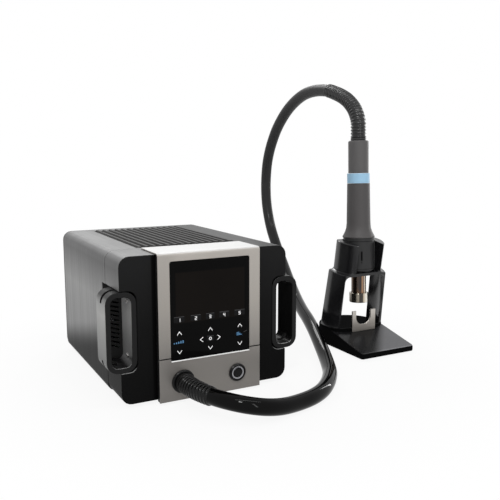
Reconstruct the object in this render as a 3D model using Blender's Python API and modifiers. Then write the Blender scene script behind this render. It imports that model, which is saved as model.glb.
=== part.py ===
"""Hot air rework station: case with blower, handpiece on a hose, and a free-standing holder.

World frame: metres, +Z up, +X to the right of the front, -Y towards the user. The origin is
on the table, under the middle of the station and its holder taken together.
"""
import math

import bmesh
import bpy
from mathutils import Matrix, Vector

MM = 0.001
GAP = 0.3 * MM              # what touching pieces keep between them
OVERRUN = 2.0 * MM          # how far a cutter passes the face it cuts

# Case
CASE_WIDTH = 176.0 * MM
CASE_DEPTH = 225.0 * MM
CASE_HEIGHT = 140.0 * MM
CASE_CORNER = 10.0 * MM
SHEET = 1.5 * MM            # steel of the cover and the tray
COVER_TURN = 4.0 * MM       # flat of the cover turned in under the case
TRAY_WALL_HEIGHT = 12.0 * MM
FOOT_HEIGHT = 4.0 * MM
FOOT_RADIUS = 8.0 * MM
FOOT_INSET_X = 27.0 * MM
FOOT_INSET_Y = 20.0 * MM
CASE_LOW = FOOT_HEIGHT
CASE_TOP = FOOT_HEIGHT + CASE_HEIGHT

# Moulded front frame
FRAME_DEPTH = 45.0 * MM
FRAME_WALL = 3.0 * MM
FRAME_WINDOW_WIDTH = 96.0 * MM
FRAME_WINDOW_MARGIN = 6.0 * MM

# Side handles: a flat band bent into a loop, set into a notch in the case
HANDLE_IN = CASE_WIDTH / 2 - 16.0 * MM      # inboard face, from the case's centre plane
HANDLE_OUT = CASE_WIDTH / 2 + 13.3 * MM     # outboard face
HANDLE_LOW = 35.4 * MM
HANDLE_HIGH = CASE_TOP - 32.5 * MM
HANDLE_DEPTH = 30.0 * MM
HANDLE_CORNER = 11.0 * MM
HANDLE_WALL = 5.0 * MM
HANDLE_SLOT_FRONT = 12.0 * MM
HANDLE_SLOT_WIDTH = 5.0 * MM
HANDLE_EDGE = 0.8 * MM

# Louvred ramps behind the handles
LOUVRE_END = FRAME_DEPTH + 11.0 * MM
LOUVRE_SHEET = 2.0 * MM
LOUVRE_PITCH = 4.4 * MM
LOUVRE_SLOT = 2.2 * MM
LOUVRE_MARGIN = 4.0 * MM
LOUVRE_REACH = 7.0 * MM        # plain strip at the inboard end
LOUVRE_FIELD = HANDLE_HIGH - HANDLE_LOW - 20.1 * MM

# Finned vent in the top
FIN_PANEL_WIDTH = 108.0 * MM
FIN_PANEL_START = FRAME_DEPTH + 5.0 * MM
FIN_PANEL_END = CASE_DEPTH - 15.0 * MM
FIN_COUNT = 14
FIN_RISE = 1.0 * MM         # fin tips above the cover
FIN_HEIGHT = 3.6 * MM
FIN_TIP = 2.6 * MM
FIN_ROOT = 5.0 * MM
FIN_BASE = 2.0 * MM
FIN_LIP = 3.0 * MM

# Front fascia
FASCIA_WIDTH = 107.0 * MM
FASCIA_PROUD = 7.0 * MM     # in front of the frame
FASCIA_RISE = 1.5 * MM      # above the cover
FASCIA_DROP = 1.4 * MM      # below the frame
FASCIA_SKIN = 1.2 * MM
FASCIA_TOP_DEPTH = 38.0 * MM
FASCIA_BEND = 3.0 * MM
FASCIA_SEAM = 45.0 * MM     # height of the joint between upper and lower skin
DISPLAY_WIDTH = 83.0 * MM
DISPLAY_LOW = 42.0 * MM
DISPLAY_HIGH = CASE_TOP - 7.0 * MM
DISPLAY_CORNER = 2.0 * MM
LCD_WIDTH = 70.0 * MM
LCD_LOW = CASE_TOP - 56.0 * MM
LCD_HIGH = CASE_TOP - 14.0 * MM
LCD_DEPTH = 11.0 * MM
BOARD_SHEET = 1.6 * MM
DISPLAY_BOARD_WIDTH = 88.0 * MM
DISPLAY_BOARD_LOW = CASE_TOP - 84.0 * MM
DISPLAY_BOARD_HIGH = CASE_TOP - 16.0 * MM

# Power button, pressed towards +Y
BUTTON_X = 27.9 * MM
BUTTON_Z = 20.6 * MM
BUTTON_RADIUS = 5.0 * MM
BUTTON_LENGTH = 9.0 * MM
LIGHT_RING_WIDTH = 1.2 * MM
BEZEL_RADIUS = 9.0 * MM
BEZEL_THICKNESS = 2.4 * MM
BEZEL_THREAD_RADIUS = 8.0 * MM
BEZEL_RECESS = 0.5 * MM
NUT_RADIUS = 11.0 * MM
NUT_THICKNESS = 3.0 * MM
SWITCH_BODY = 13.0 * MM
SWITCH_LENGTH = 16.0 * MM

# Hose socket in the lower fascia
SOCKET_X = -30.0 * MM
SOCKET_Z = 21.0 * MM
SOCKET_FLANGE_RADIUS = 11.5 * MM
SOCKET_FLANGE = 3.0 * MM
SOCKET_NECK_RADIUS = 8.6 * MM
SOCKET_BORE_RADIUS = 5.5 * MM
SOCKET_LENGTH = 18.0 * MM

# Rear
REAR_SHEET = 3.0 * MM
REAR_VENT_LENGTH = 52.0 * MM
REAR_VENT_SLOT = 3.0 * MM
REAR_VENT_PITCH = 7.0 * MM
REAR_VENT_X = 28.0 * MM
REAR_VENT_LOW = 76.0 * MM
REAR_VENT_ROWS = int((CASE_TOP - 25.0 * MM - REAR_VENT_LOW) / REAR_VENT_PITCH) + 1
INLET_X = 45.0 * MM
INLET_Z = 40.0 * MM
INLET_WIDTH = 30.0 * MM
INLET_HEIGHT = 44.0 * MM
INLET_DEPTH = 20.0 * MM
INLET_FLANGE = 2.4 * MM
INLET_FLANGE_MARGIN = 3.0 * MM
INLET_MOUTH_WIDTH = 24.0 * MM
INLET_MOUTH_HEIGHT = 16.5 * MM
INLET_MOUTH_CORNER = 4.0 * MM
INLET_MOUTH_DEPTH = 16.0 * MM
INLET_MOUTH_RISE = 8.5 * MM     # mouth's middle above the inlet's middle
PIN_PITCH = 7.0 * MM
PIN_WIDTH = 2.0 * MM
PIN_HEIGHT = 4.0 * MM
PIN_LENGTH = 12.0 * MM
FUSE_WIDTH = 22.0 * MM
FUSE_HEIGHT = 9.0 * MM
FUSE_DEPTH = 15.0 * MM
FUSE_FACE = 3.0 * MM            # drawer front outside the rear panel
FUSE_DROP = 12.0 * MM           # drawer's middle below the inlet's middle

# Blower on the tray
BLOWER_X = -20.0 * MM
BLOWER_Y = 92.0 * MM
BLOWER_RADIUS = 32.0 * MM
BLOWER_HEIGHT = 24.0 * MM
BLOWER_WALL = 2.0 * MM
BLOWER_OUTLET_WIDTH = 16.0 * MM
BLOWER_OUTLET_Y = 52.0 * MM
BLOWER_INLET_RADIUS = 15.0 * MM
IMPELLER_RADIUS = 24.0 * MM
IMPELLER_ROOT = 13.0 * MM
IMPELLER_BLADES = 12
IMPELLER_SWEEP = 24.0           # degrees a blade leans back
IMPELLER_HEIGHT = 10.0 * MM
IMPELLER_DISC = 1.5 * MM
MOTOR_RADIUS = 11.0 * MM
MOTOR_HEIGHT = 7.0 * MM
SHAFT_RADIUS = 1.6 * MM
DUCT_RADIUS = 6.0 * MM
DUCT_STUB = 9.0 * MM

# Power supply and control board
CORE_X = CASE_WIDTH / 2 - 46.0 * MM
CORE_Y = CASE_DEPTH - 75.0 * MM
CORE_WIDTH = 57.0 * MM
CORE_HEIGHT = 48.0 * MM
CORE_STACK = 24.0 * MM
CORE_LEG = 19.0 * MM
CORE_YOKE = 9.5 * MM
COIL_OVERHANG = 9.0 * MM
CONTROL_LEFT = -CASE_WIDTH / 2 + 22.0 * MM
CONTROL_RIGHT = -6.0 * MM
CONTROL_FRONT = BLOWER_Y + BLOWER_RADIUS + 5.0 * MM
CONTROL_BACK = CASE_DEPTH - 12.0 * MM
CONTROL_X = (CONTROL_LEFT + CONTROL_RIGHT) / 2
CONTROL_Y = (CONTROL_FRONT + CONTROL_BACK) / 2
CONTROL_WIDTH = CONTROL_RIGHT - CONTROL_LEFT
CONTROL_LENGTH = CONTROL_BACK - CONTROL_FRONT
CONTROL_RISE = 8.0 * MM         # board above the tray's floor
BOSS_RADIUS = 3.0 * MM
BOSS_INSET = 5.0 * MM
SINK_WIDTH = CONTROL_WIDTH - 18.0 * MM
SINK_LENGTH = 0.36 * CONTROL_LENGTH
SINK_HEIGHT = 24.0 * MM
SINK_BASE = 3.0 * MM
SINK_FINS = 7
SINK_FIN = 1.5 * MM
CAPACITOR_RADIUS = 8.0 * MM
CAPACITOR_HEIGHT = 26.0 * MM

# Holder: a base that rises to the back, and a leaning cup on two curved legs
STAND_X = 237.0 * MM            # from the case's centre plane
STAND_FRONT = 11.0 * MM         # behind the case's front face
STAND_HALF = 39.0 * MM
STAND_FOOT = 1.2 * MM
STAND_FOOT_RADIUS = 5.0 * MM
STAND_FOOT_INSET = 12.0 * MM
STAND_FRONT_HEIGHT = 8.2 * MM   # top of the front edge above the table
STAND_HEIGHT = 24.3 * MM        # flat part at the back
STAND_CORNER = 4.0 * MM
STAND_EDGE = 1.6 * MM
SEAT_RISE = 0.6 * MM            # seat of the legs above the base's flat part
SEAT_EDGE = 0.5 * MM
# Half of the seat's front edge, outwards from the hook
SEAT_FRONT = [(18.5 * MM, 0.0), (26.0 * MM, 1.5 * MM), (32.5 * MM, 3.7 * MM), (36.5 * MM, 6.7 * MM),
              (38.7 * MM, 11.7 * MM), (38.7 * MM, 21.0 * MM)]
WEDGE = math.radians(12.0)
HOLDER_SETBACK = 76.0 * MM      # axis of the holder at the top of the base
HOLDER_LEAN = math.radians(9.0)
HOLDER_FOOT_RADIUS = 39.5 * MM
SHOULDER_RADIUS = 36.0 * MM
SHOULDER_HEIGHT = 71.0 * MM
SHOULDER_CEILING = 68.4 * MM
LEG_WALL = 3.6 * MM
LEG_FRONT = 19.6 * MM           # flat front of the legs before the axis
HOLDER_BACK = 10.5 * MM         # flat back of the legs, shoulder and cup behind the axis
OPENING_HALF = 30.2 * MM
LEG_CURVE = 6.0 * MM
CUP_RADIUS = 29.5 * MM
CUP_TOP = 108.1 * MM
CUP_CLEARANCE = 1.4 * MM        # between bore and handpiece
CUP_SLOT_HALF = 18.3 * MM
CUP_SLOT_LOW = 72.0 * MM
CUP_FRONT_LOW = 73.9 * MM
CUP_EDGE = 0.8 * MM
CUP_FILLET = 2.5 * MM
CUP_FLOOR = 3.5 * MM
CUP_FLOOR_RADIUS = 22.5 * MM
CUP_HOLE_CLEARANCE = 1.4 * MM   # between the floor's hole and the nozzle collar
MAGNET_RADIUS = 4.0 * MM
MAGNET_THICKNESS = 3.0 * MM
MAGNET_HEIGHT = 90.0 * MM
HOOK_X = 1.8 * MM
HOOK_SETBACK = 50.0 * MM        # steel hook behind the stand's front edge
HOOK_SHEET = 2.0 * MM
HOOK_HALF = 17.6 * MM
HOOK_HEIGHT = 26.0 * MM
HOOK_NOTCH_HALF = 11.2 * MM
HOOK_NOTCH_LOW = 8.4 * MM
HOOK_FOOT = 6.0 * MM            # foot of the hook, in a slot of the seat
HOOK_FOOT_HALF = 11.0 * MM

# Handpiece, measured along its axis from the nozzle end
HAND_X = 1.0 * MM               # to the right of the holder's middle
HAND_LEAN = math.radians(2.4)   # its top leans back
HAND_SETBACK = 60.5 * MM        # nozzle end behind the stand's front edge
HAND_LOW = 54.0 * MM            # nozzle end above the table
COLLAR_RADIUS = 11.65 * MM
COLLAR_HEIGHT = 12.0 * MM
COLLAR_LIP = 1.5 * MM
TUBE_RADIUS = 9.05 * MM
TUBE_WALL = 0.8 * MM
TUBE_TOP = 74.0 * MM
HOUSING_RADIUS = 18.65 * MM
HOUSING_LOW = 39.0 * MM
HOUSING_WALL = 2.0 * MM
FLARE_RADIUS = 19.6 * MM
FLARE_LOW = 80.4 * MM
FLARE_EDGE = 2.6 * MM
FLARE_HEIGHT = 9.0 * MM
GRIP_RADIUS = 13.7 * MM         # at the ring
GRIP_LOW_RADIUS = 14.5 * MM     # above the flare
GRIP_WALL = 2.4 * MM
RING_LOW = 146.6 * MM
NECK_SHORT = 30.0 * MM          # the housing's neck inside the grip ends this far below the ring
RING_HEIGHT = 11.9 * MM
RING_RADIUS = 13.65 * MM
SLEEVE_RADIUS = 12.25 * MM
SLEEVE_TOP = 197.8 * MM
ELEMENT_RADIUS = 6.6 * MM
ELEMENT_LOW = 14.0 * MM
ELEMENT_RIBS = 6

# Hose and its two ribbed sleeves
HOSE_DIAMETER = 15.5 * MM
HOSE_POINT_STEP = 2.6           # radii between the points of the hose
BOOT_BASE_RADIUS = 9.4 * MM
BOOT_TIP_RADIUS = 8.4 * MM
BOOT_RIBS = 22
BOOT_PLAIN = 10.0 * MM
SLEEVE_BASE_RADIUS = 9.6 * MM
SLEEVE_TIP_RADIUS = 8.8 * MM
SLEEVE_RIBS = 11
SLEEVE_PLAIN = 4.0 * MM
RIB_DEPTH = 1.0 * MM

# The whole object stands with the origin under the middle of its box
RIGHT_REACH = STAND_X + STAND_HALF
REAR_REACH = CASE_DEPTH + FUSE_FACE
FRONT_REACH = FASCIA_PROUD + SOCKET_FLANGE
STATION_X = -(RIGHT_REACH - HANDLE_OUT) / 2
STATION_Y = -(REAR_REACH - FRONT_REACH) / 2

# Route of the hose in millimetres, from the case's centre plane, front face and the table;
# its ends are set by the socket and the handpiece
ROUTE = [
    (-30.0, -22.0, 21.0), (-28.0, -36.0, 20.9), (-24.0, -50.0, 20.6), (-18.0, -64.0, 20.4),
    (-9.5, -76.0, 19.6), (1.5, -83.5, 17.6), (16.0, -86.5, 14.4), (33.0, -85.0, 11.2),
    (53.0, -79.5, 9.0), (74.0, -72.5, 8.3), (92.0, -62.5, 8.2), (107.5, -49.0, 8.2),
    (120.0, -35.0, 8.3), (131.0, -20.0, 8.8), (146.0, 8.0, 11.0), (161.0, 42.0, 17.0),
    (174.0, 74.0, 23.8), (186.0, 106.0, 29.6), (197.0, 137.0, 34.0), (211.0, 174.0, 41.0),
    (227.0, 217.0, 54.0), (240.5, 258.0, 73.0), (250.0, 295.0, 97.0), (254.0, 319.0, 122.0),
    (255.0, 332.0, 150.0), (255.0, 336.5, 176.0), (255.0, 336.0, 202.0), (254.7, 330.5, 227.0),
    (254.0, 318.0, 251.0), (252.6, 298.0, 275.0), (250.5, 270.0, 296.0), (248.4, 242.0, 309.5),
    (246.3, 212.8, 317.7), (244.4, 181.3, 319.8), (242.5, 151.6, 317.0), (241.5, 135.0, 312.8),
    (240.5, 119.5, 307.8), (239.6, 105.4, 301.4), (238.9, 93.6, 293.1), (238.4, 85.8, 284.4),
    (238.1, 81.4, 275.3)]
SLEEVE_LENGTH = 47.0 * MM
BOOT_LENGTH = 108.0 * MM
HOSE_SPLIT = 0.62               # share of the way at which the hose's two solids meet


def clear_scene():
    """Remove what the file holds before the model is made."""
    for thing in list(bpy.data.objects):
        bpy.data.objects.remove(thing, do_unlink=True)


def collection(name):
    """Add a collection to the scene."""
    group = bpy.data.collections.new(name)
    bpy.context.scene.collection.children.link(group)
    return group


def empty(name, location, parent=None, rotation=(0.0, 0.0, 0.0)):
    """A reference frame that pieces are placed in."""
    frame = bpy.data.objects.new(name, None)
    frame.location = location
    frame.rotation_euler = rotation
    frame.parent = parent
    PARTS.objects.link(frame)
    return frame


def finish(thing, colour, roughness, metallic=0.0):
    """Give a piece its own material and smooth shading with crisp edges."""
    look = bpy.data.materials.new(thing.name + "_finish")
    look.use_nodes = True
    shader = look.node_tree.nodes["Principled BSDF"]
    shader.inputs["Base Color"].default_value = (*colour, 1.0)
    shader.inputs["Roughness"].default_value = roughness
    shader.inputs["Metallic"].default_value = metallic
    thing.data.materials.clear()
    thing.data.materials.append(look)
    return thing


def mesh_piece(name, mesh, parent, location=(0.0, 0.0, 0.0), rotation=(0.0, 0.0, 0.0)):
    """Put a mesh into the scene as a named piece."""
    thing = bpy.data.objects.new(name, mesh)
    thing.location = location
    thing.rotation_euler = rotation
    thing.parent = parent
    PARTS.objects.link(thing)
    mesh.shade_smooth()
    mesh.set_sharp_from_angle(angle=math.radians(35.0))
    return thing


def box_mesh(name, low, high):
    """A box between two corners."""
    low = Vector(low)
    high = Vector(high)
    form = bmesh.new()
    bmesh.ops.create_cube(form, size=1.0)
    bmesh.ops.scale(form, vec=high - low, verts=form.verts)
    bmesh.ops.translate(form, vec=(high + low) / 2, verts=form.verts)
    mesh = bpy.data.meshes.new(name)
    form.to_mesh(mesh)
    form.free()
    return mesh


def box(name, low, high, parent, rotation=(0.0, 0.0, 0.0)):
    """A box piece between two corners of its parent's frame."""
    return mesh_piece(name, box_mesh(name, low, high), parent, rotation=rotation)


def cylinder(name, radius, low, high, centre, parent, axis="Z", steps=24, rotation=(0.0, 0.0, 0.0)):
    """A plain cylinder from low to high along an axis through centre."""
    form = bmesh.new()
    bmesh.ops.create_cone(form, cap_ends=True, segments=steps, radius1=radius, radius2=radius,
                          depth=high - low)
    bmesh.ops.translate(form, vec=(0.0, 0.0, (high + low) / 2), verts=form.verts)
    turn = {"Z": Matrix.Identity(3), "Y": Matrix.Rotation(-math.pi / 2, 3, "X"),
            "X": Matrix.Rotation(math.pi / 2, 3, "Y")}[axis]
    bmesh.ops.rotate(form, matrix=turn, verts=form.verts)
    mesh = bpy.data.meshes.new(name)
    form.to_mesh(mesh)
    form.free()
    return mesh_piece(name, mesh, parent, centre, rotation)


def rounded(corners, steps=5):
    """Points of an outline whose corners (x, y, radius) are rounded by arcs."""
    points = []
    count = len(corners)
    for index, (x, y, radius) in enumerate(corners):
        here = Vector((x, y))
        before = Vector(corners[index - 1][:2]) - here
        after = Vector(corners[(index + 1) % count][:2]) - here
        if radius <= 0.0:
            points.append((x, y))
            continue
        half = before.angle(after) / 2
        reach = min(radius / math.tan(half), before.length / 2, after.length / 2)
        radius = reach * math.tan(half)
        middle = here + (before.normalized() + after.normalized()).normalized() * radius / math.sin(half)
        first = here + before.normalized() * reach - middle
        last = here + after.normalized() * reach - middle
        sweep = first.angle_signed(last)
        for step in range(steps + 1):
            turn = Matrix.Rotation(-sweep * step / steps, 2)
            points.append(tuple(middle + turn @ first))
    return points


def rectangle(left, right, low, high, radius=0.0, steps=5):
    """A rectangle outline with rounded corners."""
    return rounded([(right, low, radius), (right, high, radius), (left, high, radius),
                    (left, low, radius)], steps)


def circle(x, y, radius, steps=24):
    """A round outline."""
    return [(x + radius * math.cos(2 * math.pi * step / steps),
             y + radius * math.sin(2 * math.pi * step / steps)) for step in range(steps)]


# Axes that an outline's x and y and its thickness take
PLANES = {"XZ": Matrix(((1, 0, 0, 0), (0, 0, -1, 0), (0, 1, 0, 0), (0, 0, 0, 1))),
          "XY": Matrix.Identity(4),
          "YZ": Matrix(((0, 0, 1, 0), (1, 0, 0, 0), (0, 1, 0, 0), (0, 0, 0, 1)))}
NORMALS = {"XZ": Vector((0, 1, 0)), "XY": Vector((0, 0, 1)), "YZ": Vector((1, 0, 0))}


def filled(name, loops, depth):
    """Mesh of an outline with holes in it, made solid to both sides of the XY plane."""
    flat = bpy.data.curves.new(name, "CURVE")
    flat.dimensions = "2D"
    flat.fill_mode = "BOTH"
    flat.extrude = depth / 2
    for loop in loops:
        line = flat.splines.new("POLY")
        line.points.add(len(loop) - 1)
        line.use_cyclic_u = True
        for point, (x, y) in zip(line.points, loop):
            point.co = (x, y, 0.0, 1.0)
    holder = bpy.data.objects.new(name + "_outline", flat)
    PARTS.objects.link(holder)
    mesh = bpy.data.meshes.new_from_object(holder.evaluated_get(bpy.context.evaluated_depsgraph_get()))
    bpy.data.objects.remove(holder, do_unlink=True)
    return mesh


def prism(name, loops, start, end, plane, parent, location=(0.0, 0.0, 0.0), rotation=(0.0, 0.0, 0.0)):
    """A flat outline, with any holes as further loops, made solid from start to end."""
    form = bmesh.new()
    depth = abs(end - start)
    if len(loops) > 1:
        mesh = filled(name, loops, depth)
        form.from_mesh(mesh)
        bmesh.ops.remove_doubles(form, verts=form.verts, dist=0.00001)
    else:
        mesh = bpy.data.meshes.new(name)
        low = [form.verts.new((x, y, -depth / 2)) for x, y in loops[0]]
        high = [form.verts.new((x, y, depth / 2)) for x, y in loops[0]]
        form.faces.new(low)
        form.faces.new(high)
        for index in range(len(low)):
            form.faces.new((low[index - 1], low[index], high[index], high[index - 1]))
    bmesh.ops.transform(form, matrix=PLANES[plane], verts=form.verts)
    bmesh.ops.translate(form, vec=NORMALS[plane] * (start + end) / 2, verts=form.verts)
    bmesh.ops.recalc_face_normals(form, faces=form.faces)
    form.to_mesh(mesh)
    form.free()
    mesh.name = name
    return mesh_piece(name, mesh, parent, location, rotation)


def turned(name, profile, parent, location=(0.0, 0.0, 0.0), rotation=(0.0, 0.0, 0.0), steps=28,
           ring=False):
    """Turn a profile of (radius, height) points, which runs down its outer side, about Z."""
    mesh = bpy.data.meshes.new(name)
    edges = [(index, index + 1) for index in range(len(profile) - 1)]
    if ring:
        edges.append((len(profile) - 1, 0))
    mesh.from_pydata([(radius, 0.0, height) for radius, height in profile], edges, [])
    thing = bpy.data.objects.new(name, mesh)
    thing.location = location
    thing.rotation_euler = rotation
    thing.parent = parent
    PARTS.objects.link(thing)
    screw = thing.modifiers.new("Turn", "SCREW")
    screw.axis = "Z"
    screw.steps = steps
    screw.render_steps = steps
    screw.use_merge_vertices = True
    screw.merge_threshold = 0.00001
    screw.use_smooth_shade = True
    return thing


def bent_sheet(name, path, start, end, thickness, parent):
    """A sheet bent along a path in the XZ plane; its thickness lies to the right of travel."""
    form = bmesh.new()
    front = [form.verts.new((x, start, z)) for x, z in path]
    back = [form.verts.new((x, end, z)) for x, z in path]
    for index in range(len(path) - 1):
        form.faces.new((front[index], front[index + 1], back[index + 1], back[index]))
    mesh = bpy.data.meshes.new(name)
    form.to_mesh(mesh)
    form.free()
    thing = mesh_piece(name, mesh, parent)
    wall = thing.modifiers.new("Wall", "SOLIDIFY")
    wall.thickness = thickness
    wall.offset = -1.0
    wall.use_even_offset = True
    return thing


def combine(thing, tool, operation):
    """Cut a piece with a tool, or join the tool to it."""
    change = thing.modifiers.new(tool.name, "BOOLEAN")
    change.operation = operation
    change.solver = "EXACT"
    change.object = tool
    for group in list(tool.users_collection):
        group.objects.unlink(tool)
    CUTTERS.objects.link(tool)
    tool.hide_render = True
    tool.display_type = "WIRE"


def cut(thing, tool):
    """Take a tool's shape out of a piece."""
    combine(thing, tool, "DIFFERENCE")


def join(thing, tool):
    """Make a tool's shape part of a piece."""
    combine(thing, tool, "UNION")


def soften(thing, width, segments=1, angle=50.0):
    """Round the crisp edges of a piece."""
    edge = thing.modifiers.new("Edges", "BEVEL")
    edge.width = width
    edge.segments = segments
    edge.limit_method = "ANGLE"
    edge.angle_limit = math.radians(angle)


def smooth_route(route):
    """Closely spaced points on a smooth curve through the route's own points."""
    fine = []
    count = len(route)
    for index in range(count - 1):
        first = Vector(route[max(index - 1, 0)])
        second = Vector(route[index])
        third = Vector(route[index + 1])
        fourth = Vector(route[min(index + 2, count - 1)])
        for step in range(12):
            t = step / 12
            fine.append(0.5 * ((2 * second) + (third - first) * t
                               + (2 * first - 5 * second + 4 * third - fourth) * t * t
                               + (3 * second - first - 3 * third + fourth) * t ** 3))
    fine.append(Vector(route[-1]))
    return fine


def measured(points):
    """Distance of each point from the first, along the points."""
    lengths = [0.0]
    for before, after in zip(points, points[1:]):
        lengths.append(lengths[-1] + (after - before).length)
    return lengths


def picked(points, lengths, places):
    """The points that lie at the given distances along a route."""
    found = []
    cursor = 0
    for place in places:
        while cursor < len(lengths) - 2 and lengths[cursor + 1] < place:
            cursor += 1
        share = (place - lengths[cursor]) / (lengths[cursor + 1] - lengths[cursor])
        found.append(points[cursor].lerp(points[cursor + 1], share))
    return found


def stations(start, end, spacing):
    """Even distances from start to end, with one more close to each end."""
    pieces = max(2, round((end - start) / spacing))
    close = 2.0 * MM
    middle = [start + (end - start) * piece / pieces for piece in range(1, pieces)]
    return [start, start + close, *middle, end - close, end]


def tube(name, points, radii, parent, sides=2):
    """A round tube along points, with a radius at each of them."""
    line = bpy.data.curves.new(name, "CURVE")
    line.dimensions = "3D"
    line.bevel_depth = max(radii)
    line.bevel_resolution = sides
    line.use_fill_caps = True
    spline = line.splines.new("POLY")
    spline.points.add(len(points) - 1)
    for knot, place, radius in zip(spline.points, points, radii):
        knot.co = (*place, 1.0)
        knot.radius = radius / max(radii)
    thing = bpy.data.objects.new(name, line)
    thing.parent = parent
    PARTS.objects.link(thing)
    return thing


def case_corners(inset):
    """Corners of the case's front outline, drawn in by a wall."""
    side = CASE_WIDTH / 2 - inset
    low = CASE_LOW + inset
    high = CASE_TOP - inset
    radius = max(CASE_CORNER - inset, 0.0)
    return [(side, low, radius), (side, high, radius), (-side, high, radius), (-side, low, radius)]


def notched_corners(inset):
    """The same outline with the notches that take the handles."""
    side = CASE_WIDTH / 2 - inset
    low = CASE_LOW + inset
    high = CASE_TOP - inset
    radius = max(CASE_CORNER - inset, 0.0)
    notch = HANDLE_IN - GAP - inset
    notch_low = HANDLE_LOW - GAP - inset
    notch_high = HANDLE_HIGH + GAP + inset
    curve = HANDLE_CORNER + GAP + inset
    right = [(side, low, radius), (side, notch_low, 0.0), (notch, notch_low, curve),
             (notch, notch_high, curve), (side, notch_high, 0.0), (side, high, radius)]
    left = [(-x, z, corner) for x, z, corner in reversed(right)]
    return right + left


def front_frame():
    """Moulded front frame: a face with a window, a rim, and notches for the handles."""
    frame = prism("front_frame", [rounded(notched_corners(0.0))], 0.0, FRAME_DEPTH, "XZ", STATION)
    soften(frame, 0.6 * MM)
    cut(frame, prism("frame_hollow", [rounded(notched_corners(FRAME_WALL))], FRAME_WALL,
                     FRAME_DEPTH + OVERRUN, "XZ", STATION))
    half = FRAME_WINDOW_WIDTH / 2
    cut(frame, prism("frame_window", [rectangle(-half, half, CASE_LOW + FRAME_WINDOW_MARGIN,
                                                CASE_TOP - FRAME_WINDOW_MARGIN, 3.0 * MM, 2)],
                     -OVERRUN, FRAME_WALL + OVERRUN, "XZ", STATION))
    finish(frame, (0.016, 0.016, 0.017), 0.42)


def main_cover():
    """Steel cover over the sides and top, cut for the vent and behind the handles."""
    side = CASE_WIDTH / 2
    turn = side - CASE_CORNER - COVER_TURN
    corners = [(-turn, CASE_LOW, 0.0), (-side, CASE_LOW, CASE_CORNER), (-side, CASE_TOP, CASE_CORNER),
               (side, CASE_TOP, CASE_CORNER), (side, CASE_LOW, CASE_CORNER), (turn, CASE_LOW, 0.0)]
    start = FRAME_DEPTH + GAP
    end = CASE_DEPTH - REAR_SHEET - GAP
    cover = bent_sheet("main_cover", rounded(corners), start, end, SHEET, STATION)
    half = FIN_PANEL_WIDTH / 2 + GAP
    cut(cover, box("vent_cut", (-half, FIN_PANEL_START - GAP, CASE_TOP - CASE_CORNER),
                   (half, FIN_PANEL_END + GAP, CASE_TOP + OVERRUN), STATION))
    cut(cover, box("louvre_cut", (-side - OVERRUN, start - OVERRUN, HANDLE_LOW - GAP),
                   (side + OVERRUN, LOUVRE_END + GAP, HANDLE_HIGH + GAP), STATION))
    finish(cover, (0.12, 0.12, 0.122), 0.38, 0.6)


def base_tray():
    """Steel tray that carries the inner parts, with bosses for the control board."""
    half = CASE_WIDTH / 2 - CASE_CORNER - COVER_TURN - GAP
    path = [(half, CASE_LOW + TRAY_WALL_HEIGHT), (half, CASE_LOW), (-half, CASE_LOW),
            (-half, CASE_LOW + TRAY_WALL_HEIGHT)]
    tray = bent_sheet("base_tray", path, FRAME_DEPTH + GAP, CASE_DEPTH - REAR_SHEET - GAP, SHEET,
                      STATION)
    for side_x in (-1, 1):
        for side_y in (-1, 1):
            centre = (CONTROL_X + side_x * (CONTROL_WIDTH / 2 - BOSS_INSET),
                      CONTROL_Y + side_y * (CONTROL_LENGTH / 2 - BOSS_INSET), 0.0)
            boss = cylinder(f"boss_{side_x}_{side_y}", BOSS_RADIUS, CASE_LOW + SHEET / 2,
                            TRAY_FLOOR + CONTROL_RISE - GAP, centre, STATION, steps=12)
            join(tray, boss)
    finish(tray, (0.35, 0.35, 0.36), 0.4, 0.8)


def feet():
    """Four rubber feet of the case and four of the holder."""
    reach_x = CASE_WIDTH / 2 - FOOT_INSET_X
    places = {"front_left": (-reach_x, FOOT_INSET_Y), "front_right": (reach_x, FOOT_INSET_Y),
              "rear_left": (-reach_x, CASE_DEPTH - FOOT_INSET_Y),
              "rear_right": (reach_x, CASE_DEPTH - FOOT_INSET_Y)}
    for place, (x, y) in places.items():
        profile = [(0.0, FOOT_HEIGHT - GAP), (FOOT_RADIUS, FOOT_HEIGHT - GAP),
                   (FOOT_RADIUS - 1.0 * MM, 0.0), (0.0, 0.0)]
        finish(turned("foot_" + place, profile, STATION, (x, y, 0.0), steps=16), (0.02, 0.02, 0.02), 0.9)
    reach_x = STAND_HALF - STAND_FOOT_INSET
    places = {"front_left": (-reach_x, STAND_FOOT_INSET), "front_right": (reach_x, STAND_FOOT_INSET),
              "rear_left": (-reach_x, HOLDER_SETBACK), "rear_right": (reach_x, HOLDER_SETBACK)}
    for place, (x, y) in places.items():
        foot = cylinder("stand_foot_" + place, STAND_FOOT_RADIUS, 0.0, STAND_FOOT - GAP, (x, y, 0.0),
                        STAND, steps=14)
        finish(foot, (0.02, 0.02, 0.02), 0.9)


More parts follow.
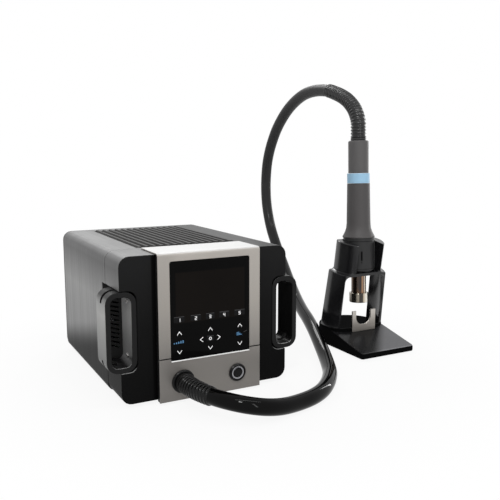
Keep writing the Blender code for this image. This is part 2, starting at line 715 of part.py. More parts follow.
def handle(side, name):
    """Side handle: a band bent into a loop, slotted round its outer bends."""
    def outline(inset):
        radius = max(HANDLE_CORNER - inset, 1.0 * MM)
        corners = [(HANDLE_IN + inset, HANDLE_LOW + inset), (HANDLE_OUT - inset, HANDLE_LOW + inset),
                   (HANDLE_OUT - inset, HANDLE_HIGH - inset), (HANDLE_IN + inset, HANDLE_HIGH - inset)]
        return rounded([(side * x, z, radius) for x, z in corners])

    loop = prism(name, [outline(0.0), outline(HANDLE_WALL)], 0.0, HANDLE_DEPTH, "XZ", STATION)
    soften(loop, HANDLE_EDGE)
    start = (HANDLE_IN + HANDLE_OUT) / 2
    slot_back = HANDLE_SLOT_FRONT + HANDLE_SLOT_WIDTH
    bends = {"low": (HANDLE_LOW - OVERRUN, HANDLE_LOW + HANDLE_CORNER),
             "high": (HANDLE_HIGH - HANDLE_CORNER, HANDLE_HIGH + OVERRUN)}
    for bend, (low, high) in bends.items():
        near, far = sorted((side * start, side * (HANDLE_OUT + OVERRUN)))
        cut(loop, box(f"{name}_{bend}_slot", (near, HANDLE_SLOT_FRONT, low), (far, slot_back, high),
                      STATION))
    finish(loop, (0.022, 0.022, 0.023), 0.4)


def side_louvre(side, name):
    """Louvred ramp that closes the notch behind a handle."""
    start = Vector((HANDLE_IN + GAP, HANDLE_DEPTH + 2 * GAP + LOUVRE_SHEET))
    end = Vector((CASE_WIDTH / 2 - GAP - LOUVRE_SHEET, LOUVRE_END - GAP))
    run = end - start
    corner = HANDLE_CORNER + GAP
    bend = HANDLE_IN - GAP + corner
    edge = []
    for step in range(7):
        x = start.x + (bend - start.x) * step / 6
        drop = corner - math.sqrt(corner ** 2 - (bend - x) ** 2)
        edge.append(((x - start.x) / run.x * run.length, drop))
    outline = [(x, HANDLE_LOW + drop) for x, drop in edge]
    outline += [(run.length, HANDLE_LOW), (run.length, HANDLE_HIGH)]
    outline += [(x, HANDLE_HIGH - drop) for x, drop in reversed(edge)]
    loops = [outline]
    count = int(LOUVRE_FIELD / LOUVRE_PITCH)
    first = (HANDLE_LOW + HANDLE_HIGH - (count - 1) * LOUVRE_PITCH) / 2
    for row in range(count):
        middle = first + row * LOUVRE_PITCH
        loops.append(rectangle(LOUVRE_REACH, run.length - LOUVRE_MARGIN, middle - LOUVRE_SLOT / 2,
                               middle + LOUVRE_SLOT / 2))
    if side < 0:
        loops = [[(-x, z) for x, z in loop] for loop in loops]
    plate = prism(name, loops, -LOUVRE_SHEET, 0.0, "XZ", STATION, (side * start.x, start.y, 0.0),
                  (0.0, 0.0, side * math.atan2(run.y, run.x)))
    finish(plate, (0.012, 0.012, 0.013), 0.5)


def top_vent():
    """Finned vent that fills the opening in the cover."""
    half = FIN_PANEL_WIDTH / 2
    under = CASE_TOP - SHEET - GAP
    valley = CASE_TOP + FIN_RISE - FIN_HEIGHT
    pitch = FIN_PANEL_WIDTH / FIN_COUNT
    outline = [(-half - FIN_LIP, under - FIN_BASE), (half + FIN_LIP, under - FIN_BASE),
               (half + FIN_LIP, under), (half, under)]
    for fin in reversed(range(FIN_COUNT)):
        middle = -half + pitch * (fin + 0.5)
        outline += [(middle + FIN_ROOT / 2, valley), (middle + FIN_TIP / 2, CASE_TOP + FIN_RISE),
                    (middle - FIN_TIP / 2, CASE_TOP + FIN_RISE), (middle - FIN_ROOT / 2, valley)]
    outline += [(-half, under), (-half - FIN_LIP, under)]
    vent = prism("top_vent", [outline], FIN_PANEL_START, FIN_PANEL_END, "XZ", STATION)
    finish(vent, (0.03, 0.03, 0.03), 0.45, 0.3)


def fascia():
    """Aluminium fascia in two skins on a black carrier, with the display and its board."""
    half = FASCIA_WIDTH / 2
    front = -FASCIA_PROUD
    skin_back = front + FASCIA_SKIN
    top = CASE_TOP + FASCIA_RISE
    low = CASE_LOW - FASCIA_DROP
    glass = DISPLAY_WIDTH / 2

    bend_in = max(FASCIA_BEND - FASCIA_SKIN, 0.0)
    profile = rounded([(front, FASCIA_SEAM + GAP, 0.0), (skin_back, FASCIA_SEAM + GAP, 0.0),
                       (skin_back, top - FASCIA_SKIN, bend_in), (FASCIA_TOP_DEPTH, top - FASCIA_SKIN, 0.0),
                       (FASCIA_TOP_DEPTH, top, 0.0), (front, top, FASCIA_BEND)], 4)
    upper = prism("upper_fascia", [profile], -half, half, "YZ", STATION)
    cut(upper, prism("display_cut", [rounded([(glass + GAP, FASCIA_SEAM - OVERRUN, 0.0),
                                              (glass + GAP, DISPLAY_HIGH + GAP, DISPLAY_CORNER),
                                              (-glass - GAP, DISPLAY_HIGH + GAP, DISPLAY_CORNER),
                                              (-glass - GAP, FASCIA_SEAM - OVERRUN, 0.0)], 3)],
                     front - OVERRUN, skin_back + OVERRUN, "XZ", STATION))
    finish(upper, (0.46, 0.44, 0.42), 0.34, 1.0)

    seam = FASCIA_SEAM - GAP
    sill = DISPLAY_LOW - GAP
    lower_outline = [(half, low), (half, seam), (glass + GAP, seam), (glass + GAP, sill),
                     (-glass - GAP, sill), (-glass - GAP, seam), (-half, seam), (-half, low)]
    lower = prism("lower_fascia", [lower_outline, circle(BUTTON_X, BUTTON_Z, BEZEL_THREAD_RADIUS + GAP),
                                   circle(SOCKET_X, SOCKET_Z, SOCKET_NECK_RADIUS + GAP)],
                  front, skin_back, "XZ", STATION)
    finish(lower, (0.40, 0.38, 0.36), 0.36, 1.0)

    pocket = LCD_WIDTH / 2 + GAP
    carrier_top = top - max(FASCIA_BEND, FASCIA_SKIN) - GAP
    carrier_loops = [rectangle(-half + GAP, half - GAP, low + GAP, carrier_top, 0.0),
                     rectangle(-pocket, pocket, LCD_LOW - GAP, LCD_HIGH + GAP),
                     circle(BUTTON_X, BUTTON_Z, BEZEL_THREAD_RADIUS + GAP),
                     circle(SOCKET_X, SOCKET_Z, SOCKET_NECK_RADIUS + GAP)]
    carrier = prism("fascia_carrier", carrier_loops, skin_back + GAP, -GAP, "XZ", STATION)
    finish(carrier, (0.012, 0.012, 0.013), 0.5)

    glass_plate = prism("display_glass", [rectangle(-glass, glass, DISPLAY_LOW, DISPLAY_HIGH,
                                                    DISPLAY_CORNER, 3)],
                        front, skin_back, "XZ", STATION)
    finish(glass_plate, (0.006, 0.006, 0.006), 0.08)

    lcd_front = skin_back + GAP
    lcd = box("display_module", (-LCD_WIDTH / 2, lcd_front, LCD_LOW),
              (LCD_WIDTH / 2, lcd_front + LCD_DEPTH, LCD_HIGH), STATION)
    finish(lcd, (0.05, 0.06, 0.06), 0.3)
    board_front = lcd_front + LCD_DEPTH + GAP
    board = box("display_board", (-DISPLAY_BOARD_WIDTH / 2, board_front, DISPLAY_BOARD_LOW),
                (DISPLAY_BOARD_WIDTH / 2, board_front + BOARD_SHEET, DISPLAY_BOARD_HIGH), STATION)
    finish(board, (0.02, 0.16, 0.06), 0.5)


def power_button():
    """Latching push button: bezel, lit ring, plunger, nut and switch body."""
    face = -FASCIA_PROUD
    turn = (math.pi / 2, 0.0, 0.0)
    seat = (BUTTON_X, face, BUTTON_Z)
    ring_radius = BUTTON_RADIUS + GAP + LIGHT_RING_WIDTH
    bore = ring_radius + GAP
    thread = FASCIA_PROUD + NUT_THICKNESS + 2 * GAP
    bezel = turned("button_bezel", [
        (bore, BEZEL_THICKNESS), (BEZEL_RADIUS - 1.0 * MM, BEZEL_THICKNESS),
        (BEZEL_RADIUS, BEZEL_THICKNESS - 1.0 * MM), (BEZEL_RADIUS, GAP), (BEZEL_THREAD_RADIUS, GAP),
        (BEZEL_THREAD_RADIUS, -thread), (bore, -thread)], STATION, seat, turn, ring=True)
    finish(bezel, (0.02, 0.02, 0.02), 0.3)
    ring_top = BEZEL_THICKNESS - BEZEL_RECESS
    light = turned("button_light_ring", [
        (BUTTON_RADIUS + GAP, ring_top), (ring_radius, ring_top), (ring_radius, -thread),
        (BUTTON_RADIUS + GAP, -thread)], STATION, seat, turn, ring=True)
    finish(light, (0.6, 0.62, 0.62), 0.3)
    plunger = turned("power_button", [
        (0.0, ring_top), (BUTTON_RADIUS - 0.6 * MM, ring_top), (BUTTON_RADIUS, ring_top - 0.6 * MM),
        (BUTTON_RADIUS, ring_top - BUTTON_LENGTH), (0.0, ring_top - BUTTON_LENGTH)],
                     STATION, seat, turn)
    finish(plunger, (0.015, 0.015, 0.016), 0.3)
    nut = prism("button_nut", [circle(BUTTON_X, BUTTON_Z, NUT_RADIUS, 6),
                               circle(BUTTON_X, BUTTON_Z, BEZEL_THREAD_RADIUS + GAP, 24)],
                0.0, NUT_THICKNESS, "XZ", STATION)
    finish(nut, (0.55, 0.5, 0.35), 0.35, 1.0)
    switch_front = thread - FASCIA_PROUD + GAP
    switch = box("button_switch", (BUTTON_X - SWITCH_BODY / 2, switch_front, BUTTON_Z - SWITCH_BODY / 2),
                 (BUTTON_X + SWITCH_BODY / 2, switch_front + SWITCH_LENGTH, BUTTON_Z + SWITCH_BODY / 2),
                 STATION)
    finish(switch, (0.03, 0.03, 0.03), 0.5)


def hose_socket():
    """Flanged socket that the hose leaves the case through."""
    back = SOCKET_FLANGE - SOCKET_LENGTH
    socket = turned("hose_socket", [
        (SOCKET_BORE_RADIUS, SOCKET_FLANGE), (SOCKET_FLANGE_RADIUS - 1.0 * MM, SOCKET_FLANGE),
        (SOCKET_FLANGE_RADIUS, SOCKET_FLANGE - 1.0 * MM), (SOCKET_FLANGE_RADIUS, GAP),
        (SOCKET_NECK_RADIUS, GAP), (SOCKET_NECK_RADIUS, back), (SOCKET_BORE_RADIUS, back)],
                    STATION, (SOCKET_X, -FASCIA_PROUD, SOCKET_Z), (math.pi / 2, 0.0, 0.0), ring=True)
    finish(socket, (0.014, 0.014, 0.015), 0.4)


def rear_panel():
    """Rear panel with the air intake slots, the mains inlet and its fuse drawer."""
    inner = CASE_DEPTH - REAR_SHEET
    half_width = INLET_WIDTH / 2
    half_height = INLET_HEIGHT / 2
    loops = [rounded(case_corners(0.0)),
             rectangle(INLET_X - half_width - GAP, INLET_X + half_width + GAP,
                       INLET_Z - half_height - GAP, INLET_Z + half_height + GAP)]
    for bank in (-1, 1):
        for row in range(REAR_VENT_ROWS):
            middle = REAR_VENT_LOW + row * REAR_VENT_PITCH
            centre = bank * REAR_VENT_X
            loops.append(rectangle(centre - REAR_VENT_LENGTH / 2, centre + REAR_VENT_LENGTH / 2,
                                   middle - REAR_VENT_SLOT / 2, middle + REAR_VENT_SLOT / 2,
                                   REAR_VENT_SLOT / 2, 2))
    panel = prism("rear_panel", loops, inner, CASE_DEPTH, "XZ", STATION)
    finish(panel, (0.018, 0.018, 0.019), 0.45)

    outside = CASE_DEPTH + GAP
    inlet = box("mains_inlet", (INLET_X - half_width, CASE_DEPTH - INLET_DEPTH, INLET_Z - half_height),
                (INLET_X + half_width, outside + INLET_FLANGE, INLET_Z + half_height), STATION)
    lip = INLET_FLANGE_MARGIN
    join(inlet, box("inlet_flange", (INLET_X - half_width - lip, outside, INLET_Z - half_height - lip),
                    (INLET_X + half_width + lip, outside + INLET_FLANGE, INLET_Z + half_height + lip),
                    STATION))
    mouth_z = INLET_Z + INLET_MOUTH_RISE
    mouth_x = INLET_MOUTH_WIDTH / 2
    mouth_h = INLET_MOUTH_HEIGHT / 2
    mouth = [(INLET_X - mouth_x, mouth_z - mouth_h), (INLET_X + mouth_x, mouth_z - mouth_h),
             (INLET_X + mouth_x, mouth_z + mouth_h - INLET_MOUTH_CORNER),
             (INLET_X + mouth_x - INLET_MOUTH_CORNER, mouth_z + mouth_h),
             (INLET_X - mouth_x + INLET_MOUTH_CORNER, mouth_z + mouth_h),
             (INLET_X - mouth_x, mouth_z + mouth_h - INLET_MOUTH_CORNER)]
    floor = CASE_DEPTH - INLET_MOUTH_DEPTH
    cut(inlet, prism("inlet_mouth", [mouth], floor, CASE_DEPTH + 2 * INLET_FLANGE, "XZ", STATION))
    for place in (-1, 0, 1):
        x = INLET_X + place * PIN_PITCH
        join(inlet, box(f"inlet_pin_{place}", (x - PIN_WIDTH / 2, floor - 1.0 * MM,
                                               mouth_z - PIN_HEIGHT / 2),
                        (x + PIN_WIDTH / 2, floor + PIN_LENGTH, mouth_z + PIN_HEIGHT / 2), STATION))
    fuse_z = INLET_Z - FUSE_DROP
    cut(inlet, box("fuse_pocket", (INLET_X - FUSE_WIDTH / 2, CASE_DEPTH - FUSE_DEPTH,
                                   fuse_z - FUSE_HEIGHT / 2),
                   (INLET_X + FUSE_WIDTH / 2, CASE_DEPTH + 2 * INLET_FLANGE, fuse_z + FUSE_HEIGHT / 2),
                   STATION))
    finish(inlet, (0.02, 0.02, 0.02), 0.4)
    drawer = box("fuse_drawer", (INLET_X - FUSE_WIDTH / 2 + GAP, CASE_DEPTH - FUSE_DEPTH + GAP,
                                 fuse_z - FUSE_HEIGHT / 2 + GAP),
                 (INLET_X + FUSE_WIDTH / 2 - GAP, CASE_DEPTH + FUSE_FACE, fuse_z + FUSE_HEIGHT / 2 - GAP),
                 STATION)
    finish(drawer, (0.03, 0.03, 0.03), 0.4)


def blower_outline(inset):
    """Scroll of the blower with its outlet towards the front."""
    radius = BLOWER_RADIUS - inset
    outer_x = BLOWER_X - radius
    inner_x = BLOWER_X - BLOWER_RADIUS + BLOWER_OUTLET_WIDTH - inset
    last = 2 * math.pi - math.acos((inner_x - BLOWER_X) / radius)
    mouth = BLOWER_OUTLET_Y - (OVERRUN if inset > 0.0 else 0.0)
    points = [(outer_x, mouth)]
    steps = 22
    for step in range(steps + 1):
        angle = math.pi - (math.pi + 2 * math.pi - last) * step / steps
        points.append((BLOWER_X + radius * math.cos(angle), BLOWER_Y + radius * math.sin(angle)))
    points.append((inner_x, mouth))
    return points


def blower():
    """Centrifugal blower: scroll housing, cover, motor, impeller and the duct to the socket."""
    low = TRAY_FLOOR + GAP
    high = low + BLOWER_HEIGHT
    floor = low + BLOWER_WALL
    housing = prism("blower_housing", [blower_outline(0.0)], low, high, "XY", STATION)
    cut(housing, prism("blower_hollow", [blower_outline(BLOWER_WALL)], floor, high + OVERRUN, "XY",
                       STATION))
    finish(housing, (0.03, 0.03, 0.03), 0.5)
    cover = prism("blower_cover", [blower_outline(0.0),
                                   circle(BLOWER_X, BLOWER_Y, BLOWER_INLET_RADIUS)],
                  high + GAP, high + GAP + BLOWER_WALL, "XY", STATION)
    finish(cover, (0.04, 0.04, 0.04), 0.5)
    centre = (BLOWER_X, BLOWER_Y, 0.0)
    motor_top = floor + GAP + MOTOR_HEIGHT
    hub_low = motor_top + 1.0 * MM + IMPELLER_DISC
    hub_high = hub_low + IMPELLER_HEIGHT
    motor = turned("blower_motor", [
        (0.0, hub_high), (SHAFT_RADIUS, hub_high), (SHAFT_RADIUS, motor_top), (MOTOR_RADIUS, motor_top),
        (MOTOR_RADIUS, floor + GAP), (0.0, floor + GAP)], STATION, centre, steps=20)
    finish(motor, (0.4, 0.4, 0.42), 0.35, 0.9)
    star = []
    slice_angle = 2 * math.pi / IMPELLER_BLADES
    lean = math.radians(IMPELLER_SWEEP)
    thick = 0.14 * slice_angle
    for blade in range(IMPELLER_BLADES):
        base = blade * slice_angle
        for radius, angle in ((IMPELLER_ROOT, base), (IMPELLER_RADIUS, base + lean),
                              (IMPELLER_RADIUS, base + lean + thick),
                              (IMPELLER_ROOT, base + 3 * thick)):
            star.append((radius * math.cos(angle), radius * math.sin(angle)))
    impeller = prism("impeller", [star, circle(0.0, 0.0, SHAFT_RADIUS + GAP, 12)], 0.0,
                     IMPELLER_HEIGHT, "XY", STATION, (BLOWER_X, BLOWER_Y, hub_low))
    disc = prism("impeller_disc", [circle(0.0, 0.0, IMPELLER_RADIUS, 36),
                                   circle(0.0, 0.0, IMPELLER_ROOT - 2.0 * MM, 12)],
                 -IMPELLER_DISC, IMPELLER_DISC, "XY", STATION, (BLOWER_X, BLOWER_Y, hub_low))
    join(impeller, disc)
    finish(impeller, (0.5, 0.5, 0.48), 0.5)

    outlet_x = BLOWER_X - BLOWER_RADIUS + BLOWER_OUTLET_WIDTH / 2
    duct_z = (floor + high) / 2
    socket_back = -FASCIA_PROUD - SOCKET_FLANGE + SOCKET_LENGTH
    route = [(outlet_x, BLOWER_OUTLET_Y - GAP - back, duct_z)
             for back in (0.0, DUCT_STUB / 2, DUCT_STUB)]
    route += [((outlet_x + SOCKET_X) / 2, (BLOWER_OUTLET_Y + socket_back) / 2, (duct_z + SOCKET_Z) / 2)]
    route += [(SOCKET_X, socket_back + GAP + back, SOCKET_Z) for back in (DUCT_STUB, DUCT_STUB / 2, 0.0)]
    fine = smooth_route(route)
    lengths = measured(fine)
    points = picked(fine, lengths, stations(0.0, lengths[-1], DUCT_RADIUS))
    duct = tube("air_duct", points, [DUCT_RADIUS] * len(points), STATION)
    finish(duct, (0.25, 0.26, 0.27), 0.6)


def power_supply():
    """Transformer, control board, heat sink and filter capacitor on the tray."""
    low = TRAY_FLOOR + GAP
    high = low + CORE_HEIGHT
    half = CORE_WIDTH / 2
    leg = CORE_LEG / 2
    yoke = CORE_YOKE
    windows = [rectangle(CORE_X + side * (leg + half - yoke) / 2 - (half - yoke - leg) / 2,
                         CORE_X + side * (leg + half - yoke) / 2 + (half - yoke - leg) / 2,
                         low + yoke, high - yoke) for side in (-1, 1)]
    core = prism("transformer_core", [rectangle(CORE_X - half, CORE_X + half, low, high), *windows],
                 CORE_Y - CORE_STACK / 2, CORE_Y + CORE_STACK / 2, "XZ", STATION)
    finish(core, (0.2, 0.2, 0.21), 0.5, 0.7)
    inner_x = leg + GAP
    outer_x = half - yoke - GAP
    inner_y = CORE_STACK / 2 + GAP
    outer_y = inner_y + COIL_OVERHANG
    coil = prism("transformer_coil", [
        rectangle(CORE_X - outer_x, CORE_X + outer_x, CORE_Y - outer_y, CORE_Y + outer_y, 4.0 * MM, 3),
        rectangle(CORE_X - inner_x, CORE_X + inner_x, CORE_Y - inner_y, CORE_Y + inner_y)],
                 low + yoke + GAP, high - yoke - GAP, "XY", STATION)
    finish(coil, (0.45, 0.16, 0.04), 0.4, 0.3)

    board_low = TRAY_FLOOR + CONTROL_RISE
    board_high = board_low + BOARD_SHEET
    board = box("control_board", (CONTROL_X - CONTROL_WIDTH / 2, CONTROL_Y - CONTROL_LENGTH / 2, board_low),
                (CONTROL_X + CONTROL_WIDTH / 2, CONTROL_Y + CONTROL_LENGTH / 2, board_high), STATION)
    finish(board, (0.02, 0.16, 0.06), 0.5)
    sink_low = board_high + GAP
    left = CONTROL_X - SINK_WIDTH / 2
    pitch = (SINK_WIDTH - SINK_FIN) / (SINK_FINS - 1)
    outline = [(left, sink_low), (left + SINK_WIDTH, sink_low)]
    for fin in reversed(range(SINK_FINS)):
        x = left + fin * pitch
        outline += [(x + SINK_FIN, sink_low + SINK_BASE), (x + SINK_FIN, sink_low + SINK_HEIGHT),
                    (x, sink_low + SINK_HEIGHT), (x, sink_low + SINK_BASE)]
    outline = [point for index, point in enumerate(outline)
               if point not in ((left, sink_low + SINK_BASE),)]
    outline = [point for point in outline
               if abs(point[0] - left - SINK_WIDTH) > 1e-9 or point[1] != sink_low + SINK_BASE]
    sink_y = CONTROL_Y + CONTROL_LENGTH / 2 - SINK_LENGTH - BOSS_INSET
    sink = prism("heat_sink", [outline], sink_y, sink_y + SINK_LENGTH, "XZ", STATION)
    finish(sink, (0.6, 0.6, 0.61), 0.35, 1.0)
    capacitor = cylinder("filter_capacitor", CAPACITOR_RADIUS, sink_low, sink_low + CAPACITOR_HEIGHT,
                         (CONTROL_X, CONTROL_Y - CONTROL_LENGTH / 2 + BOSS_INSET + CAPACITOR_RADIUS, 0.0),
                         STATION, steps=16)
    finish(capacitor, (0.03, 0.05, 0.2), 0.35)


def stand_base():
    """Base of the holder: rises from a low front edge to the seat of the legs, round at the back."""
    half = STAND_HALF
    arc = [math.pi - math.pi * step / 24 for step in range(1, 24)]
    outline = rounded([(half, HOLDER_SETBACK, 0.0), (half, 0.0, STAND_CORNER),
                       (-half, 0.0, STAND_CORNER), (-half, HOLDER_SETBACK, 0.0)], 4)
    outline += [(half * math.cos(angle), HOLDER_SETBACK + half * math.sin(angle)) for angle in arc]
    flat = STAND_HEIGHT - SEAT_RISE
    base = prism("stand_base", [outline], STAND_FOOT, flat, "XY", STAND)
    rise = math.tan(WEDGE)
    before = -STAND_EDGE - OVERRUN
    low = (before, STAND_FRONT_HEIGHT + before * rise)
    past = ((STAND_HEIGHT - STAND_FRONT_HEIGHT) / rise, STAND_HEIGHT)
    cut(base, prism("slope_cut", [[low, past, (low[0], STAND_HEIGHT)]], -half - OVERRUN, half + OVERRUN,
                    "YZ", STAND))
    soften(base, STAND_EDGE, 2, 30.0)
    rim = half - STAND_EDGE - GAP
    front = HOOK_SETBACK + HOOK_SHEET + GAP
    plan = [(side * x, front + back) for side, places in ((1, SEAT_FRONT[::-1]), (-1, SEAT_FRONT))
            for x, back in places]
    plan += [(rim * math.cos(angle), HOLDER_SETBACK + rim * math.sin(angle)) for angle in arc]
    seat = prism("holder_seat", [plan], STAND_FOOT + STAND_EDGE, STAND_HEIGHT, "XY", STAND)
    soften(seat, SEAT_EDGE, 2, 50.0)
    slot_half = HOOK_FOOT_HALF + GAP
    slot_end = HOOK_SETBACK + HOOK_SHEET + HOOK_FOOT + GAP
    near, far = [(y, STAND_FRONT_HEIGHT + y * rise + GAP / 2) for y in (HOOK_SETBACK, slot_end)]
    deep = HOOK_SHEET + GAP
    cut(seat, prism("hook_slot", [[near, far, (far[0], far[1] + deep), (near[0], near[1] + deep)]],
                    HOOK_X - slot_half, HOOK_X + slot_half, "YZ", STAND))
    join(base, seat)
    finish(base, (0.03, 0.03, 0.031), 0.35)


def stand_holder():
    """Curved legs, shoulder and slotted cup that the handpiece stands in, as one moulding."""
    under = -12.0 * MM
    holder = turned("stand_holder", [
        (0.0, CUP_TOP), (CUP_RADIUS - CUP_EDGE, CUP_TOP), (CUP_RADIUS, CUP_TOP - CUP_EDGE),
        (CUP_RADIUS, SHOULDER_HEIGHT + CUP_FILLET), (CUP_RADIUS + CUP_FILLET * 0.3,
                                                     SHOULDER_HEIGHT + CUP_FILLET * 0.3),
        (CUP_RADIUS + CUP_FILLET, SHOULDER_HEIGHT), (SHOULDER_RADIUS - CUP_EDGE, SHOULDER_HEIGHT - 0.4 * MM),
        (SHOULDER_RADIUS, SHOULDER_HEIGHT - 1.6 * MM), (HOLDER_FOOT_RADIUS, under),
        (HOLDER_FOOT_RADIUS - LEG_WALL, under), (SHOULDER_RADIUS - LEG_WALL, SHOULDER_CEILING),
        (0.0, SHOULDER_CEILING)], HOLDER, steps=48)
    join(holder, cylinder("cup_floor", CUP_FLOOR_RADIUS, HOUSING_LOW - GAP - CUP_FLOOR,
                          HOUSING_LOW + CUP_FLOOR, (0.0, 0.0, 0.0), HAND, steps=32))
    bore = HOUSING_RADIUS + CUP_CLEARANCE
    cut(holder, cylinder("cup_bore", bore, HOUSING_LOW - GAP, RING_LOW, (0.0, 0.0, 0.0), HAND,
                         steps=40))
    hole = COLLAR_RADIUS + CUP_HOLE_CLEARANCE
    cut(holder, cylinder("cup_hole", hole, HOUSING_LOW / 2, HOUSING_LOW + OVERRUN, (0.0, 0.0, 0.0), HAND,
                         steps=28))
    reach = HOLDER_FOOT_RADIUS + OVERRUN
    cut(holder, box("cup_slot", (-CUP_SLOT_HALF, -reach, CUP_SLOT_LOW),
                    (CUP_SLOT_HALF, 0.0, CUP_TOP + OVERRUN), HOLDER))
    cut(holder, box("front_cut", (-reach, -reach, 2 * under), (reach, -LEG_FRONT, CUP_FRONT_LOW), HOLDER))
    half = OPENING_HALF
    outline = rounded([(half, 2 * under, 0.0), (half, SHOULDER_CEILING, LEG_CURVE),
                       (-half, SHOULDER_CEILING, LEG_CURVE), (-half, 2 * under, 0.0)], 4)
    cut(holder, prism("opening", [outline], -reach, 0.0, "XZ", HOLDER))
    cut(holder, box("back_cut", (-reach, HOLDER_BACK, 2 * under), (reach, reach, CUP_TOP + OVERRUN),
                    HOLDER))
    cut(holder, box("foot_cut", (-reach, 0.0, 4 * under),
                    (reach, HOLDER_SETBACK + reach, STAND_HEIGHT + GAP), STAND))
    pocket = MAGNET_THICKNESS + GAP
    cut(holder, cylinder("magnet_pocket", MAGNET_RADIUS + GAP, CUP_RADIUS - pocket, CUP_RADIUS + OVERRUN,
                         (0.0, 0.0, MAGNET_HEIGHT), HOLDER, "X", 16))
    finish(holder, (0.02, 0.02, 0.021), 0.32)
    magnet = cylinder("sleep_magnet", MAGNET_RADIUS, CUP_RADIUS - MAGNET_THICKNESS, CUP_RADIUS,
                      (0.0, 0.0, MAGNET_HEIGHT), HOLDER, "X", 16)
    finish(magnet, (0.5, 0.5, 0.5), 0.3, 1.0)


def nozzle_hook():
    """Steel hook with its foot in the seat: its notch takes the heater tube and pulls the nozzle off."""
    def top_plane(y):
        return STAND_FRONT_HEIGHT + y * math.tan(WEDGE) + GAP

    front = HOOK_SETBACK
    back = HOOK_SETBACK + HOOK_SHEET
    foot_end = back + HOOK_FOOT
    top = top_plane(front) + HOOK_HEIGHT
    profile = [(front, top_plane(front)), (foot_end, top_plane(foot_end)),
               (foot_end, top_plane(foot_end) + HOOK_SHEET), (back, top_plane(back) + HOOK_SHEET),
               (back, top), (front, top)]
    hook = prism("nozzle_hook", [profile], HOOK_X - HOOK_HALF, HOOK_X + HOOK_HALF, "YZ", STAND)
    for side in (-1, 1):
        near, far = sorted((HOOK_X + side * HOOK_FOOT_HALF, HOOK_X + side * (HOOK_HALF + OVERRUN)))
        cut(hook, box(f"foot_side_{side}", (near, back, 0.0), (far, foot_end + OVERRUN, top), STAND))
    left = HAND_X - HOOK_NOTCH_HALF
    right = HAND_X + HOOK_NOTCH_HALF
    low = top_plane(front) + HOOK_NOTCH_LOW
    notch = rounded([(left, low, HOOK_NOTCH_HALF), (right, low, HOOK_NOTCH_HALF),
                     (right, top + OVERRUN, 0.0), (left, top + OVERRUN, 0.0)], 9)
    cut(hook, prism("hook_notch", [notch], front - OVERRUN, back + OVERRUN, "XZ", STAND))
    finish(hook, (0.62, 0.58, 0.52), 0.3, 1.0)


